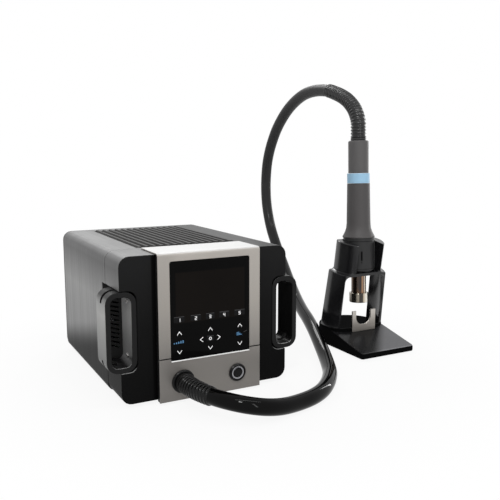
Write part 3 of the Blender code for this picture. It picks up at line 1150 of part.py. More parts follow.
def handpiece():
    """Handpiece: nozzle collar, heater tube and element, lower housing, grip, ring and sleeve."""
    bore = GRIP_RADIUS - GRIP_WALL
    collar = turned("nozzle_collar", [
        (TUBE_RADIUS + GAP, COLLAR_HEIGHT), (COLLAR_RADIUS - 0.5 * MM, COLLAR_HEIGHT),
        (COLLAR_RADIUS, COLLAR_HEIGHT - 0.5 * MM), (COLLAR_RADIUS, 0.5 * MM),
        (COLLAR_RADIUS - 0.5 * MM, 0.0), (TUBE_RADIUS - COLLAR_LIP, 0.0),
        (TUBE_RADIUS - COLLAR_LIP, COLLAR_LIP), (TUBE_RADIUS + GAP, COLLAR_LIP)], HAND, ring=True)
    finish(collar, (0.75, 0.72, 0.66), 0.22, 1.0)

    inner = TUBE_RADIUS - TUBE_WALL
    heater = turned("heater_tube", [
        (inner, TUBE_TOP), (TUBE_RADIUS, TUBE_TOP), (TUBE_RADIUS, COLLAR_LIP + GAP),
        (inner, COLLAR_LIP + GAP)], HAND, ring=True)
    finish(heater, (0.5, 0.42, 0.34), 0.28, 1.0)

    profile = [(0.0, TUBE_TOP - 2.0 * MM), (inner - GAP, TUBE_TOP - 2.0 * MM),
               (inner - GAP, TUBE_TOP - 8.0 * MM)]
    high = TUBE_TOP - 8.0 * MM
    step = (high - ELEMENT_LOW) / (2 * ELEMENT_RIBS)
    for rib in range(ELEMENT_RIBS):
        rise = high - 2 * rib * step
        profile += [(ELEMENT_RADIUS - 1.0 * MM, rise), (ELEMENT_RADIUS - 1.0 * MM, rise - step),
                    (ELEMENT_RADIUS, rise - step), (ELEMENT_RADIUS, rise - 2 * step)]
    profile.append((0.0, ELEMENT_LOW))
    element = turned("heating_element", profile, HAND, steps=12)
    finish(element, (0.75, 0.7, 0.62), 0.7)

    wall = HOUSING_WALL
    neck = bore - GAP
    neck_top = RING_LOW - NECK_SHORT
    housing = turned("lower_housing", [
        (neck - wall, neck_top), (neck, neck_top), (neck, FLARE_LOW + FLARE_EDGE),
        (HOUSING_RADIUS, FLARE_LOW - GAP), (HOUSING_RADIUS, HOUSING_LOW + 2.0 * MM),
        (HOUSING_RADIUS - 2.0 * MM, HOUSING_LOW), (TUBE_RADIUS + GAP, HOUSING_LOW),
        (TUBE_RADIUS + GAP, HOUSING_LOW + wall), (HOUSING_RADIUS - wall, HOUSING_LOW + wall),
        (HOUSING_RADIUS - wall, FLARE_LOW - wall), (neck - wall, FLARE_LOW)], HAND, ring=True)
    finish(housing, (0.04, 0.04, 0.042), 0.42)

    grip_top = RING_LOW - GAP
    flare_high = FLARE_LOW + FLARE_EDGE + FLARE_HEIGHT
    grip = turned("handle_grip", [
        (bore, grip_top), (GRIP_RADIUS, grip_top), (GRIP_LOW_RADIUS, flare_high + 6.0 * MM),
        (GRIP_LOW_RADIUS + 0.6 * MM, flare_high), (GRIP_LOW_RADIUS + 2.1 * MM, flare_high - 4.5 * MM),
        (FLARE_RADIUS - 0.8 * MM, FLARE_LOW + FLARE_EDGE), (FLARE_RADIUS, FLARE_LOW + FLARE_EDGE - 1.0 * MM),
        (FLARE_RADIUS, FLARE_LOW), (HOUSING_RADIUS + GAP, FLARE_LOW),
        (bore, FLARE_LOW + FLARE_EDGE + GAP)], HAND, ring=True)
    finish(grip, (0.085, 0.078, 0.078), 0.5)

    ring_high = RING_LOW + RING_HEIGHT
    ring = turned("handle_ring", [
        (bore, ring_high), (RING_RADIUS, ring_high), (RING_RADIUS, RING_LOW), (bore, RING_LOW)],
                  HAND, ring=True)
    finish(ring, (0.21, 0.45, 0.65), 0.4)

    sleeve_low = ring_high + GAP
    sleeve = turned("handle_sleeve", [
        (SLEEVE_RADIUS - 4.0 * MM, SLEEVE_TOP), (SLEEVE_RADIUS - 1.0 * MM, SLEEVE_TOP),
        (SLEEVE_RADIUS, SLEEVE_TOP - 1.0 * MM), (SLEEVE_RADIUS, sleeve_low),
        (SLEEVE_RADIUS - GRIP_WALL, sleeve_low), (SLEEVE_RADIUS - GRIP_WALL, SLEEVE_TOP - 3.0 * MM),
        (SLEEVE_RADIUS - 4.0 * MM, SLEEVE_TOP - 3.0 * MM)], HAND, ring=True)
    finish(sleeve, (0.085, 0.078, 0.078), 0.5)


def ribbed_places(start, end, plain, ribs):
    """Distances and rib depths along a ribbed sleeve, which starts with a plain stretch."""
    pitch = (end - start - plain) / ribs
    places = [start, start + 2.0 * MM, start + plain]
    depths = [0.0, 0.0, 0.0]
    for rib in range(ribs):
        base = start + plain + rib * pitch
        places += [base + 0.08 * pitch, base + 0.42 * pitch, base + 0.5 * pitch]
        depths += [RIB_DEPTH, RIB_DEPTH, 0.0]
        if rib < ribs - 1:
            places.append(base + pitch)
            depths.append(0.0)
    return [*places, end], [*depths, 0.0]


def hose():
    """The hose, with a ribbed sleeve at the socket and a ribbed boot at the handpiece."""
    to_station = STATION.matrix_world.inverted() @ HAND.matrix_world
    exit_low = to_station @ Vector((0.0, 0.0, SLEEVE_TOP + GAP))
    exit_high = to_station @ Vector((0.0, 0.0, SLEEVE_TOP + GAP + 14.0 * MM))
    front = -FASCIA_PROUD - SOCKET_FLANGE - GAP
    start = Vector((SOCKET_X, front, SOCKET_Z))
    route = [start, start - Vector((0.0, 6.0 * MM, 0.0))]
    route += [Vector(place) * MM for place in ROUTE] + [exit_high, exit_low]
    fine = smooth_route(route)
    lengths = measured(fine)
    total = lengths[-1]
    boot_start = total - BOOT_LENGTH
    split = total * HOSE_SPLIT
    half = GAP / 2
    step = HOSE_DIAMETER * HOSE_POINT_STEP / 2
    radius = HOSE_DIAMETER / 2
    spans = {"hose_lower": (SLEEVE_LENGTH + GAP, split - half), "hose_upper": (split + half, boot_start)}
    for name, (low, high) in spans.items():
        points = picked(fine, lengths, stations(low, high, step))
        finish(tube(name, points, [radius] * len(points), STATION), (0.012, 0.012, 0.013), 0.3)

    places, depths = ribbed_places(0.0, SLEEVE_LENGTH, SLEEVE_PLAIN, SLEEVE_RIBS)
    radii = [SLEEVE_BASE_RADIUS + (SLEEVE_TIP_RADIUS - SLEEVE_BASE_RADIUS) * place / SLEEVE_LENGTH - depth
             for place, depth in zip(places, depths)]
    finish(tube("hose_sleeve", picked(fine, lengths, places), radii, STATION), (0.012, 0.012, 0.013), 0.4)

    places, depths = ribbed_places(0.0, BOOT_LENGTH - GAP, BOOT_PLAIN, BOOT_RIBS)
    radii = [BOOT_BASE_RADIUS + (BOOT_TIP_RADIUS - BOOT_BASE_RADIUS) * place / BOOT_LENGTH - depth
             for place, depth in zip(places, depths)]
    places = [total - place for place in reversed(places)]
    radii.reverse()
    finish(tube("hose_boot", picked(fine, lengths, places), radii, STATION), (0.07, 0.07, 0.072), 0.4)


clear_scene()
PARTS = collection("hot_air_station")
CUTTERS = collection("cutters")
TRAY_FLOOR = CASE_LOW + SHEET

STATION = empty("station", (STATION_X, STATION_Y, 0.0))
STAND = empty("stand", (STAND_X, STAND_FRONT, 0.0), STATION)
HOLDER = empty("holder", (0.0, HOLDER_SETBACK, STAND_HEIGHT), STAND, (HOLDER_LEAN, 0.0, 0.0))
HAND = empty("hand", (HAND_X, HAND_SETBACK, HAND_LOW), STAND, (-HAND_LEAN, 0.0, 0.0))
bpy.context.view_layer.update()

front_frame()
main_cover()
base_tray()
feet()
for SIDE, PLACE in ((-1, "left"), (1, "right")):
    handle(SIDE, "handle_" + PLACE)
    side_louvre(SIDE, "side_louvre_" + PLACE)
top_vent()
fascia()
power_button()
hose_socket()
rear_panel()
blower()
power_supply()
stand_base()
stand_holder()
nozzle_hook()
handpiece()
hose()
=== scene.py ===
"""Hot air rework station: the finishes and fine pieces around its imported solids.

Metres, +Z up, -Y towards the user. Places on the case are given in millimetres from its
centre plane, its front face and the table, as at() takes them.
"""
import math

import bmesh
import bpy
from mathutils import Matrix, Vector


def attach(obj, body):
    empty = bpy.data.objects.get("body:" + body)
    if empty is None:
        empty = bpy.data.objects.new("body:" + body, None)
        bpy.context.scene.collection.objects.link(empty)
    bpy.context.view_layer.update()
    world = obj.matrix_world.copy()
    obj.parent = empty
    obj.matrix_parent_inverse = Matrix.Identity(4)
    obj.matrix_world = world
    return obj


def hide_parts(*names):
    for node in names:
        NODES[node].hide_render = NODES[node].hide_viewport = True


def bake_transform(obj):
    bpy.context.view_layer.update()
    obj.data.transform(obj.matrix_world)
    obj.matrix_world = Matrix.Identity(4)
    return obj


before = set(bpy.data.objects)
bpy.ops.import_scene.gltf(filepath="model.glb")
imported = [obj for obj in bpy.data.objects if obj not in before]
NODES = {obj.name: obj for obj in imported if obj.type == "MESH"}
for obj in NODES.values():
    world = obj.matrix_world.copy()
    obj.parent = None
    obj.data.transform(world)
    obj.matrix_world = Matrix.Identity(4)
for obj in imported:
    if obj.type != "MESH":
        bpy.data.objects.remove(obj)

scene = bpy.context.scene
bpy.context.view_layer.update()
MM = 0.001
ORIGIN = Vector((-87.35, -109.0, 0.0)) * MM     # case's centre plane, front face and the table
FRONT = -7.0                                    # front of the fascia, on the case
LEAN = math.radians(2.4)                        # the handpiece's top leans back
HAND_FOOT = (238.0, 71.5, 54.0)                 # its nozzle end, on the case
TONE_HEIGHT = 0.15                              # metres up, where the tones by height end

HOSE_DIAMETER = 15.5
SLEEVE_LENGTH = 47.0
BOOT_LENGTH = 108.0
HAND_LENGTH = 197.8
ROUTE = [                                       # the hose's centreline, as places on the case
    (-30.0, -22.0, 21.0), (-28.0, -36.0, 20.9), (-24.0, -50.0, 20.6), (-18.0, -64.0, 20.4),
    (-9.5, -76.0, 19.6), (1.5, -83.5, 17.6), (16.0, -86.5, 14.4), (33.0, -85.0, 11.2),
    (53.0, -79.5, 9.0), (74.0, -72.5, 8.3), (92.0, -62.5, 8.2), (107.5, -49.0, 8.2),
    (120.0, -35.0, 8.3), (131.0, -20.0, 8.8), (146.0, 8.0, 11.0), (161.0, 42.0, 17.0),
    (174.0, 74.0, 23.8), (186.0, 106.0, 29.6), (197.0, 137.0, 34.0), (211.0, 174.0, 41.0),
    (227.0, 217.0, 54.0), (240.5, 258.0, 73.0), (250.0, 295.0, 97.0), (254.0, 319.0, 122.0),
    (255.0, 332.0, 150.0), (255.0, 336.5, 176.0), (255.0, 336.0, 202.0), (254.7, 330.5, 227.0),
    (254.0, 318.0, 251.0), (252.6, 298.0, 275.0), (250.5, 270.0, 296.0), (248.4, 242.0, 309.5),
    (246.3, 212.8, 317.7), (244.4, 181.3, 319.8), (242.5, 151.6, 317.0), (241.5, 135.0, 312.8),
    (240.5, 119.5, 307.8), (239.6, 105.4, 301.4), (238.9, 93.6, 293.1), (238.4, 85.8, 284.4),
    (238.1, 81.4, 275.3)]


def at(x, y, z):
    """A place on the case, in the model's own frame."""
    return Vector((x, y, z)) * MM + ORIGIN


def on_hand(x, y, along):
    """A place on the handpiece: beside its axis, and along it from the nozzle end."""
    tilt = Matrix.Rotation(-LEAN, 4, "X")
    return at(*HAND_FOOT) + tilt @ (Vector((x, y, along)) * MM)


# Shader maths
class Wire:
    """A value inside a finish, so that shader maths reads as plain sums."""

    def __init__(self, finish, socket):
        self.finish = finish
        self.socket = socket

    def __add__(self, other):
        return self.finish.maths("ADD", self, other)

    def __sub__(self, other):
        return self.finish.maths("SUBTRACT", self, other)

    def __rsub__(self, other):
        return self.finish.maths("SUBTRACT", other, self)

    def __mul__(self, other):
        return self.finish.maths("MULTIPLY", self, other)

    def __truediv__(self, other):
        return self.finish.maths("DIVIDE", self, other)

    def __pow__(self, other):
        return self.finish.maths("POWER", self, other)

    def __abs__(self):
        return self.finish.maths("ABSOLUTE", self)

    __radd__ = __add__
    __rmul__ = __mul__


class Finish:
    """One material: its Principled shader and the nodes that feed it."""

    def __init__(self, name, colour, roughness, metallic=0.0, own=None):
        self.material = bpy.data.materials.new(name)
        self.material.use_nodes = True
        self.tree = self.material.node_tree
        self.shader = self.tree.nodes["Principled BSDF"]
        self.shader.inputs["Base Color"].default_value = (*colour, 1.0)
        self.shader.inputs["Roughness"].default_value = roughness
        self.shader.inputs["Metallic"].default_value = metallic
        for socket, value in (own or {}).items():
            self.shader.inputs[socket].default_value = value
        self.material.diffuse_color = (*colour, 1.0)

    def node(self, kind, settings=None, values=None, output=0):
        """Any node: its settings first, then the value or link of each socket."""
        node = self.tree.nodes.new("ShaderNode" + kind)
        for key, value in (settings or {}).items():
            if key == "stops":
                for _ in range(len(value) - 2):
                    node.color_ramp.elements.new(0.5)
                for element, (place, colour) in zip(node.color_ramp.elements, value):
                    element.position = place
                    element.color = (*colour, 1.0)
            else:
                setattr(node, key, value)
        for key, value in (values or {}).items():
            if isinstance(value, Wire):
                self.tree.links.new(value.socket, node.inputs[key])
            else:
                node.inputs[key].default_value = value
        return Wire(self, node.outputs[output])

    def maths(self, operation, first, second=None):
        """A Math node on one or two values."""
        values = {0: first} if second is None else {0: first, 1: second}
        return self.node("Math", {"operation": operation}, values)

    def feed(self, socket, wire):
        """Links a value to a socket of the shader."""
        self.tree.links.new(wire.socket, self.shader.inputs[socket])

    def place(self, stretch=(1.0, 1.0, 1.0)):
        """Place on the piece in metres, stretched for grain that runs one way."""
        spot = self.node("TexCoord", output="Object")
        if stretch == (1.0, 1.0, 1.0):
            return spot
        return self.node("VectorMath", {"operation": "MULTIPLY"}, {0: spot, 1: stretch})

    def axis(self, letter):
        """The place along one axis, in metres."""
        return self.node("SeparateXYZ", values={0: self.place()}, output=letter)

    def off_centre(self):
        """How far the place lies to the right of the case's centre plane, in metres."""
        return self.axis("X") - ORIGIN.x

    def facing(self, letter):
        """How far the surface faces along one axis, from -1 to 1."""
        normal = self.node("NewGeometry", output="Normal")
        return self.node("SeparateXYZ", values={0: normal}, output=letter)

    def noise(self, per_metre, stretch=(1.0, 1.0, 1.0), detail=3.0, rough=0.5):
        """Soft noise about 0.5, with so many bumps to the metre."""
        return self.node("TexNoise", values={"Vector": self.place(stretch), "Scale": per_metre,
                                             "Detail": detail, "Roughness": rough})

    def band(self, value, low, high, start=0.0, end=1.0):
        """start below low, end above high, and a smooth change between."""
        return self.node("MapRange", {"interpolation_type": "SMOOTHSTEP"},
                         {"Value": value, "From Min": low, "From Max": high,
                          "To Min": start, "To Max": end})

    def blend(self, share, colour_a, colour_b):
        """colour_a where share is 0, and colour_b where it is 1."""
        def full(colour):
            return colour if isinstance(colour, Wire) else (*colour, 1.0)
        return self.node("Mix", {"data_type": "RGBA"},
                         {0: share, 6: full(colour_a), 7: full(colour_b)}, output=2)

    def ramp(self, value, stops):
        """The colour at a value, from stops of place and colour."""
        return self.node("ValToRGB", {"stops": stops}, {"Fac": value})

    def painted_light_by_height(self, stops):
        """Painted light and shade as tones by height, from the table up to TONE_HEIGHT."""
        return self.ramp(self.axis("Z") / TONE_HEIGHT, stops)

    def bump(self, height, strength, depth):
        """Relief of the surface, with its depth in metres."""
        self.feed("Normal", self.node("Bump", values={"Height": height, "Strength": strength,
                                                      "Distance": depth}))


def moulded(name, colour, roughness, grain=0.25, shine=0.3, spread=0.12):
    """Moulded plastic: a fine spark texture, and a little change of tone."""
    finish = Finish(name, colour, roughness, own={"Specular IOR Level": shine})
    fine = finish.noise(1900.0, detail=2.0)
    broad = finish.noise(24.0, detail=4.0)
    dark = tuple(part * (1.0 - spread) for part in colour)
    light = tuple(part * (1.0 + spread) for part in colour)
    finish.feed("Base Color", finish.blend(broad * 0.7 + fine * 0.3, dark, light))
    finish.feed("Roughness", roughness - 0.06 + broad * 0.08 + fine * 0.04)
    finish.bump(fine, grain, 0.0001)
    return finish.material


def rubber(name, colour, roughness, shine=0.4):
    """Rubber: nearly even, with a little dust."""
    finish = Finish(name, colour, roughness, own={"Specular IOR Level": shine})
    cloud = finish.noise(35.0, detail=5.0)
    fine = finish.noise(900.0, detail=2.0)
    dusty = tuple(part * 1.6 + 0.002 for part in colour)
    finish.feed("Base Color", finish.blend(finish.band(cloud, 0.5, 0.75) * 0.5, colour, dusty))
    finish.feed("Roughness", roughness - 0.04 + cloud * 0.08)
    finish.bump(fine, 0.12, 0.0001)
    return finish.material


def hose_black():
    """Smooth hose, with a painted sheen that makes it paler where it rises from the table, and
    rougher higher up.
    """
    finish = Finish("hose_black", (0.0015, 0.0015, 0.0016), 0.13,
                    own={"Specular IOR Level": 0.10})
    cloud = finish.noise(35.0, detail=5.0)
    # Painted sheen: the hose is painted paler the higher it rises.
    painted_sheen = finish.band(finish.axis("Z"), 0.015, 0.16)
    tone = finish.blend(painted_sheen, (0.0008, 0.0008, 0.0009), (0.034, 0.034, 0.0345))
    finish.feed("Base Color", finish.blend(cloud * 0.12, tone, (0.004, 0.004, 0.004)))
    dull = finish.band(finish.axis("Z"), 0.18, 0.29)
    finish.feed("Roughness", 0.05 + cloud * 0.05 + painted_sheen * 0.10 + dull * 0.22)
    finish.bump(finish.noise(900.0, detail=2.0), 0.03, 0.0001)
    return finish.material


def bare_metal(name, colour, roughness, grain=(1.0, 1.0, 0.02), depth=0.1, per_metre=1600.0):
    """Metal with a grain that runs the way that the stretch is small."""
    finish = Finish(name, colour, roughness, 1.0)
    lines = finish.noise(per_metre, grain, 2.0)
    cloud = finish.noise(30.0, detail=3.0)
    dark = tuple(part * 0.84 for part in colour)
    light = tuple(min(part * 1.12, 1.0) for part in colour)
    finish.feed("Base Color", finish.blend(lines * 0.6 + cloud * 0.4, dark, light))
    finish.feed("Roughness", roughness - 0.08 + lines * 0.1 + cloud * 0.06)
    finish.bump(lines, depth, 0.0001)
    return finish.material


def painted_foot_highlight(finish):
    """1 on low edges that face up and to the front, as at the foot of the handles, where a painted
    highlight goes.
    """
    forward = finish.facing("Y")
    return (finish.band(forward, -0.90, -0.80) * finish.band(forward, -0.45, -0.35, 1.0, 0.0)
            * finish.band(finish.facing("Z"), 0.40, 0.55)
            * finish.band(finish.axis("Z"), 0.05, 0.06, 1.0, 0.0))


def cover_tone(finish):
    """Tone, share of metal and grain of the cover and the frame's rim, with painted light and
    shade: black low down and higher towards the front, lightest part way up, and the top darker at
    its right end.
    """
    up = abs(finish.facing("Z"))
    height = finish.axis("Z")
    # Painted light and shade: the sides lightest part way up and darker near the top.
    light = finish.painted_light_by_height([
        (0.28, (0.225, 0.225, 0.225)), (0.62, (0.27, 0.27, 0.268)), (0.80, (0.135, 0.135, 0.135)),
        (0.87, (0.085, 0.085, 0.085)), (0.93, (0.12, 0.12, 0.12))])
    # Painted shade: the sides go black low down, and higher up towards the front.
    rise = height + finish.axis("Y") * 0.234 - 0.0571
    lit = finish.band(rise, -0.032, 0.006) ** 1.7
    side = finish.blend(lit, (0.0045, 0.0045, 0.0045), light)
    # Painted shade: the top darker towards its right end.
    right = finish.band(finish.axis("X"), -0.17, -0.03)
    top = finish.blend(right, (0.235, 0.235, 0.235), (0.075, 0.075, 0.075))
    above = finish.band(up, 0.30, 0.95)
    tone = finish.blend(above, side, top)
    metal = (lit * (1.0 - above) + (1.0 - right * 0.55) * above) * 0.75
    lines = finish.noise(420.0, (1.0, 1.0, 0.015), 3.0)
    along = finish.noise(420.0, (1.0, 0.015, 1.0), 3.0)
    broad = finish.noise(38.0, (1.0, 1.0, 0.08), 2.0)
    grain = lines * (1.0 - up) + along * up
    shade = grain * 0.5 + broad * 0.5
    tone = finish.blend(finish.band(shade, 0.3, 0.7, 0.0, 0.24), tone, (0.015, 0.015, 0.015))
    return tone, metal, grain


def graphite_cover():
    """Satin graphite steel, with its grain up and down the sides, and the painted light and shade
    of cover_tone.
    """
    finish = Finish("graphite_cover", (0.26, 0.26, 0.26), 0.42, own={"Specular IOR Level": 0.03})
    tone, metal, grain = cover_tone(finish)
    finish.feed("Base Color", tone)
    finish.feed("Metallic", metal)
    finish.feed("Roughness", 0.36 + grain * 0.12)
    finish.bump(grain, 0.08, 0.0001)
    return finish.material


def frame_skin():
    """Moulded front frame: black face with painted shade low down and by the fascia, a painted
    highlight at the foot, and a rim painted to go with the cover, with the cover's painted light
    and shade.
    """
    finish = Finish("frame_skin", (0.008, 0.008, 0.0083), 0.42, own={"Specular IOR Level": 0.03})
    fine = finish.noise(1900.0, detail=2.0)
    broad = finish.noise(24.0, detail=4.0)
    rim = finish.band(abs(finish.facing("Y")), 0.35, 0.75, 1.0, 0.0)
    outside = rim * finish.band(abs(finish.off_centre()), 0.0862, 0.0870)
    outside = finish.maths("MAXIMUM", outside, rim * finish.band(finish.axis("Z"), 0.1425, 0.1433))
    outside = finish.maths("MAXIMUM", outside, rim * finish.band(
        finish.axis("Z") + abs(finish.off_centre()), 0.2215, 0.2235))
    # The rim's faces take the cover's tone, with its painted light and shade.
    tone, metal, grain = cover_tone(finish)
    # Painted shade: the black face darker towards the bottom.
    face = finish.painted_light_by_height([
        (0.05, (0.0030, 0.0030, 0.0030)), (0.5, (0.0062, 0.0062, 0.0063)),
        (0.9, (0.0145, 0.0145, 0.0148))])
    black = finish.blend(broad * 0.2 + fine * 0.1, face, (0.014, 0.014, 0.0143))
    # Painted shadow: a dark strip on the frame beside the fascia.
    painted_gap_shadow = finish.band(abs(finish.off_centre()), 0.0562, 0.0580, 0.9, 0.0)
    black = finish.blend(painted_gap_shadow, black, (0.001, 0.001, 0.001))
    # Painted highlight on low edges that face up and to the front.
    black = finish.blend(painted_foot_highlight(finish), black, (0.25, 0.25, 0.25))
    finish.feed("Base Color", finish.blend(outside, black, tone))
    finish.feed("Metallic", outside * metal)
    finish.feed("Roughness", 0.38 + broad * 0.06 + fine * 0.04)
    finish.bump(fine, 0.2, 0.0001)
    return finish.material


def handle_painted_light():
    """Handle: black edges towards the front, painted light in grey on the faces that look outwards,
    lightest part way up, painted shade on its inner parts low down, and a painted highlight at its
    foot.
    """
    finish = Finish("handle_painted_light", (0.012, 0.012, 0.012), 0.38, own={"Specular IOR Level": 0.18})
    # Painted light: the faces that look outwards are grey, lightest part way up.
    outward = finish.maths("SIGN", finish.off_centre()) * finish.facing("X")
    across = finish.band(outward, 0.75, 0.97)
    grey = finish.painted_light_by_height([
        (0.23, (0.04, 0.04, 0.04)), (0.34, (0.17, 0.17, 0.168)), (0.60, (0.40, 0.40, 0.39)),
        (0.67, (0.30, 0.30, 0.295)), (0.72, (0.06, 0.06, 0.06))])
    # Painted shade on the inner parts, deepest low down.
    inboard = finish.band(abs(finish.off_centre()), 0.0800, 0.0900, 1.0, 0.0)
    low = finish.band(finish.axis("Z"), 0.046, 0.088, 0.97, 0.34)
    grey = finish.blend(inboard * low, grey, (0.012, 0.012, 0.012))
    fine = finish.noise(1400.0, detail=2.0)
    cloud = finish.noise(40.0, detail=3.0)
    tone = finish.blend(across, (0.0042, 0.0042, 0.0044), grey)
    # Painted highlight on low edges at the foot.
    tone = finish.blend(painted_foot_highlight(finish), tone, (0.42, 0.42, 0.42))
    finish.feed("Base Color", finish.blend(cloud * 0.2, tone, (0.008, 0.008, 0.008)))
    finish.feed("Roughness", 0.32 + fine * 0.06 + cloud * 0.06)
    finish.bump(fine, 0.12, 0.0001)
    return finish.material


def blasted_fascia():
    """Blasted, clear-anodised aluminium with a warm tone; painted shade darkens it downwards and on
    a strip at the left, and painted light makes the faces that look up pale.
    """
    finish = Finish("blasted_fascia", (0.40, 0.38, 0.35), 0.40, 0.55, {"Specular IOR Level": 0.3})
    speck = finish.noise(1500.0, detail=2.0, rough=0.7)
    cloud = finish.noise(18.0, detail=2.0)
    # Painted shade: the tone darker downwards.
    tone = finish.painted_light_by_height([
        (0.0, (0.205, 0.193, 0.18)), (0.3, (0.265, 0.25, 0.233)), (0.62, (0.39, 0.363, 0.331)),
        (0.95, (0.43, 0.402, 0.37))])
    level = finish.facing("Z")
    # Painted shade on a strip at the left.
    left = finish.band(finish.axis("X"), -0.135, -0.115, 0.14, 0.0)
    tone = finish.blend(left, tone, (0.05, 0.05, 0.055))
    # Painted light: the faces that look up are pale.
    tone = finish.blend(finish.band(level, 0.4, 0.95), tone, (0.66, 0.66, 0.655))
    spots = finish.band(speck * 0.8 + cloud * 0.2, 0.35, 0.7, 0.0, 0.16)
    finish.feed("Base Color", finish.blend(spots, tone, (0.16, 0.15, 0.14)))
    finish.feed("Roughness", 0.34 + speck * 0.12)
    finish.bump(speck, 0.14, 0.0001)
    return finish.material


def display_black():
    """Gloss black glass over a display that is off: a faint warm window in its upper part."""
    finish = Finish("display_black", (0.004, 0.004, 0.004), 0.12, own={"Specular IOR Level": 0.03})
    across = abs(finish.off_centre())
    height = finish.axis("Z")
    window = (finish.band(across, 0.036, 0.0365, 1.0, 0.0) * finish.band(height, 0.0775, 0.078)
              * finish.band(height, 0.126, 0.1265, 1.0, 0.0))
    cloud = finish.noise(12.0, detail=2.0)
    warm = finish.blend(cloud, (0.0045, 0.0038, 0.0034), (0.0095, 0.0078, 0.0068))
    finish.feed("Base Color", finish.blend(window, (0.0035, 0.0035, 0.0035), warm))
    finish.feed("Roughness", 0.05 + finish.noise(60.0, detail=4.0) * 0.05)
    return finish.material


def hot_tube():
    """Steel tube with painted reflections as light, straw and dark streaks along it, and brown heat
    tint in patches.
    """
    finish = Finish("hot_tube", (0.5, 0.4, 0.3), 0.24, 1.0)
    foot = at(*HAND_FOOT)
    angle = finish.maths("ARCTAN2", finish.axis("Y") - (foot.y + 0.002), finish.axis("X") - foot.x)
    # Painted reflections: light and dark streaks by the angle round the tube.
    painted_reflection_streaks = finish.ramp(angle / (2.0 * math.pi) + 0.5, [
        (0.0, (0.10, 0.075, 0.06)), (0.17, (0.06, 0.05, 0.045)), (0.20, (0.03, 0.03, 0.035)),
        (0.235, (0.36, 0.22, 0.13)), (0.27, (0.10, 0.09, 0.10)), (0.285, (0.78, 0.70, 0.58)),
        (0.34, (0.70, 0.58, 0.42)), (0.40, (0.40, 0.28, 0.18)), (0.7, (0.45, 0.36, 0.27)),
        (1.0, (0.10, 0.075, 0.06))])
    heat = finish.noise(90.0, (1.0, 1.0, 0.4), 3.0)
    brown = finish.band(heat, 0.45, 0.75) * 0.35
    finish.feed("Base Color", finish.blend(brown, painted_reflection_streaks, (0.32, 0.16, 0.07)))
    finish.feed("Roughness", 0.18 + heat * 0.12)
    finish.bump(finish.noise(2200.0, (1.0, 1.0, 0.05), 2.0), 0.05, 0.0001)
    return finish.material


def bright_collar():
    """Nickel-plated collar, brushed round, with painted reflections as light and dark streaks."""
    finish = Finish("bright_collar", (0.72, 0.68, 0.60), 0.2, 1.0)
    foot = at(*HAND_FOOT)
    angle = finish.maths("ARCTAN2", finish.axis("Y") - foot.y, finish.axis("X") - foot.x)
    # Painted reflections: light and dark streaks by the angle round the collar.
    tone = finish.ramp(angle / (2.0 * math.pi) + 0.5, [
        (0.0, (0.25, 0.23, 0.20)), (0.14, (0.30, 0.27, 0.22)), (0.165, (0.02, 0.02, 0.022)),
        (0.215, (0.03, 0.03, 0.03)), (0.235, (0.55, 0.47, 0.36)), (0.29, (0.92, 0.88, 0.80)),
        (0.36, (0.80, 0.76, 0.68)), (0.44, (0.35, 0.31, 0.25)), (0.7, (0.6, 0.56, 0.5)),
        (1.0, (0.25, 0.23, 0.20))])
    lines = finish.noise(1500.0, (1.0, 1.0, 0.03), 2.0)
    finish.feed("Base Color", finish.blend(lines * 0.25, tone, (0.30, 0.26, 0.20)))
    finish.feed("Roughness", 0.14 + lines * 0.12)
    return finish.material


def hook_steel():
    """Brushed steel plate, warm grey, with painted light that makes it lighter at its upper edge.
    """
    finish = Finish("hook_steel", (0.45, 0.42, 0.38), 0.33, 1.0)
    lines = finish.noise(900.0, (0.05, 1.0, 1.0), 3.0)
    height = finish.axis("Z")
    # Painted light: lighter towards the upper edge.
    tone = finish.blend(finish.band(height, 0.026, 0.044), (0.28, 0.26, 0.235), (0.56, 0.53, 0.49))
    finish.feed("Base Color", finish.blend(lines * 0.3, tone, (0.20, 0.18, 0.16)))
    finish.feed("Roughness", 0.26 + lines * 0.14)
    finish.bump(lines, 0.12, 0.0001)
    return finish.material


def circuit_green():
    """Solder mask with paler tracks."""
    finish = Finish("circuit_green", (0.015, 0.12, 0.04), 0.38)
    tracks = finish.node("TexBrick", {"offset": 0.35, "squash": 1.6},
                         {"Vector": finish.place(), "Scale": 90.0, "Mortar Size": 0.03},
                         output="Fac")
    cloud = finish.noise(60.0)
    finish.feed("Base Color", finish.blend(tracks, (0.012, 0.10, 0.035), (0.04, 0.24, 0.09)))
    finish.feed("Roughness", 0.32 + cloud * 0.1)
    finish.bump(tracks, 0.2, 0.0001)
    return finish.material


def stand_black():
    """Base of the holder: matt black, with a gloss coat and a painted sheen on the top that slopes
    to the front, grey towards its right as a painted reflection.
    """
    finish = Finish("stand_black", (0.006, 0.006, 0.0062), 0.5,
                    own={"Specular IOR Level": 0.0, "Coat Roughness": 0.27})
    slope = (finish.band(finish.facing("Y"), -0.24, -0.16, 1.0, 0.0)
             * finish.band(finish.facing("Z"), 0.60, 0.90))
    # Painted reflection: the slope turns grey towards its right.
    painted_reflection = finish.band(finish.axis("X") - finish.axis("Y") * 0.87, 0.212, 0.230)
    cloud = finish.noise(45.0, detail=4.0)
    fine = finish.noise(1500.0, detail=2.0)
    grey = finish.blend(painted_reflection, (0.012, 0.012, 0.013), (0.21, 0.21, 0.22))
    # Painted sheen: the slope is lighter than the flat parts.
    tone = finish.blend(slope, (0.0030, 0.0030, 0.0031), grey)
    finish.feed("Base Color", finish.blend(cloud * 0.2, tone, (0.006, 0.006, 0.0064)))
    finish.feed("Roughness", 0.40 + cloud * 0.10 + fine * 0.04)
    finish.feed("Coat Weight", slope * 0.7 + 0.02)
    finish.bump(fine, 0.12, 0.0001)
    return finish.material


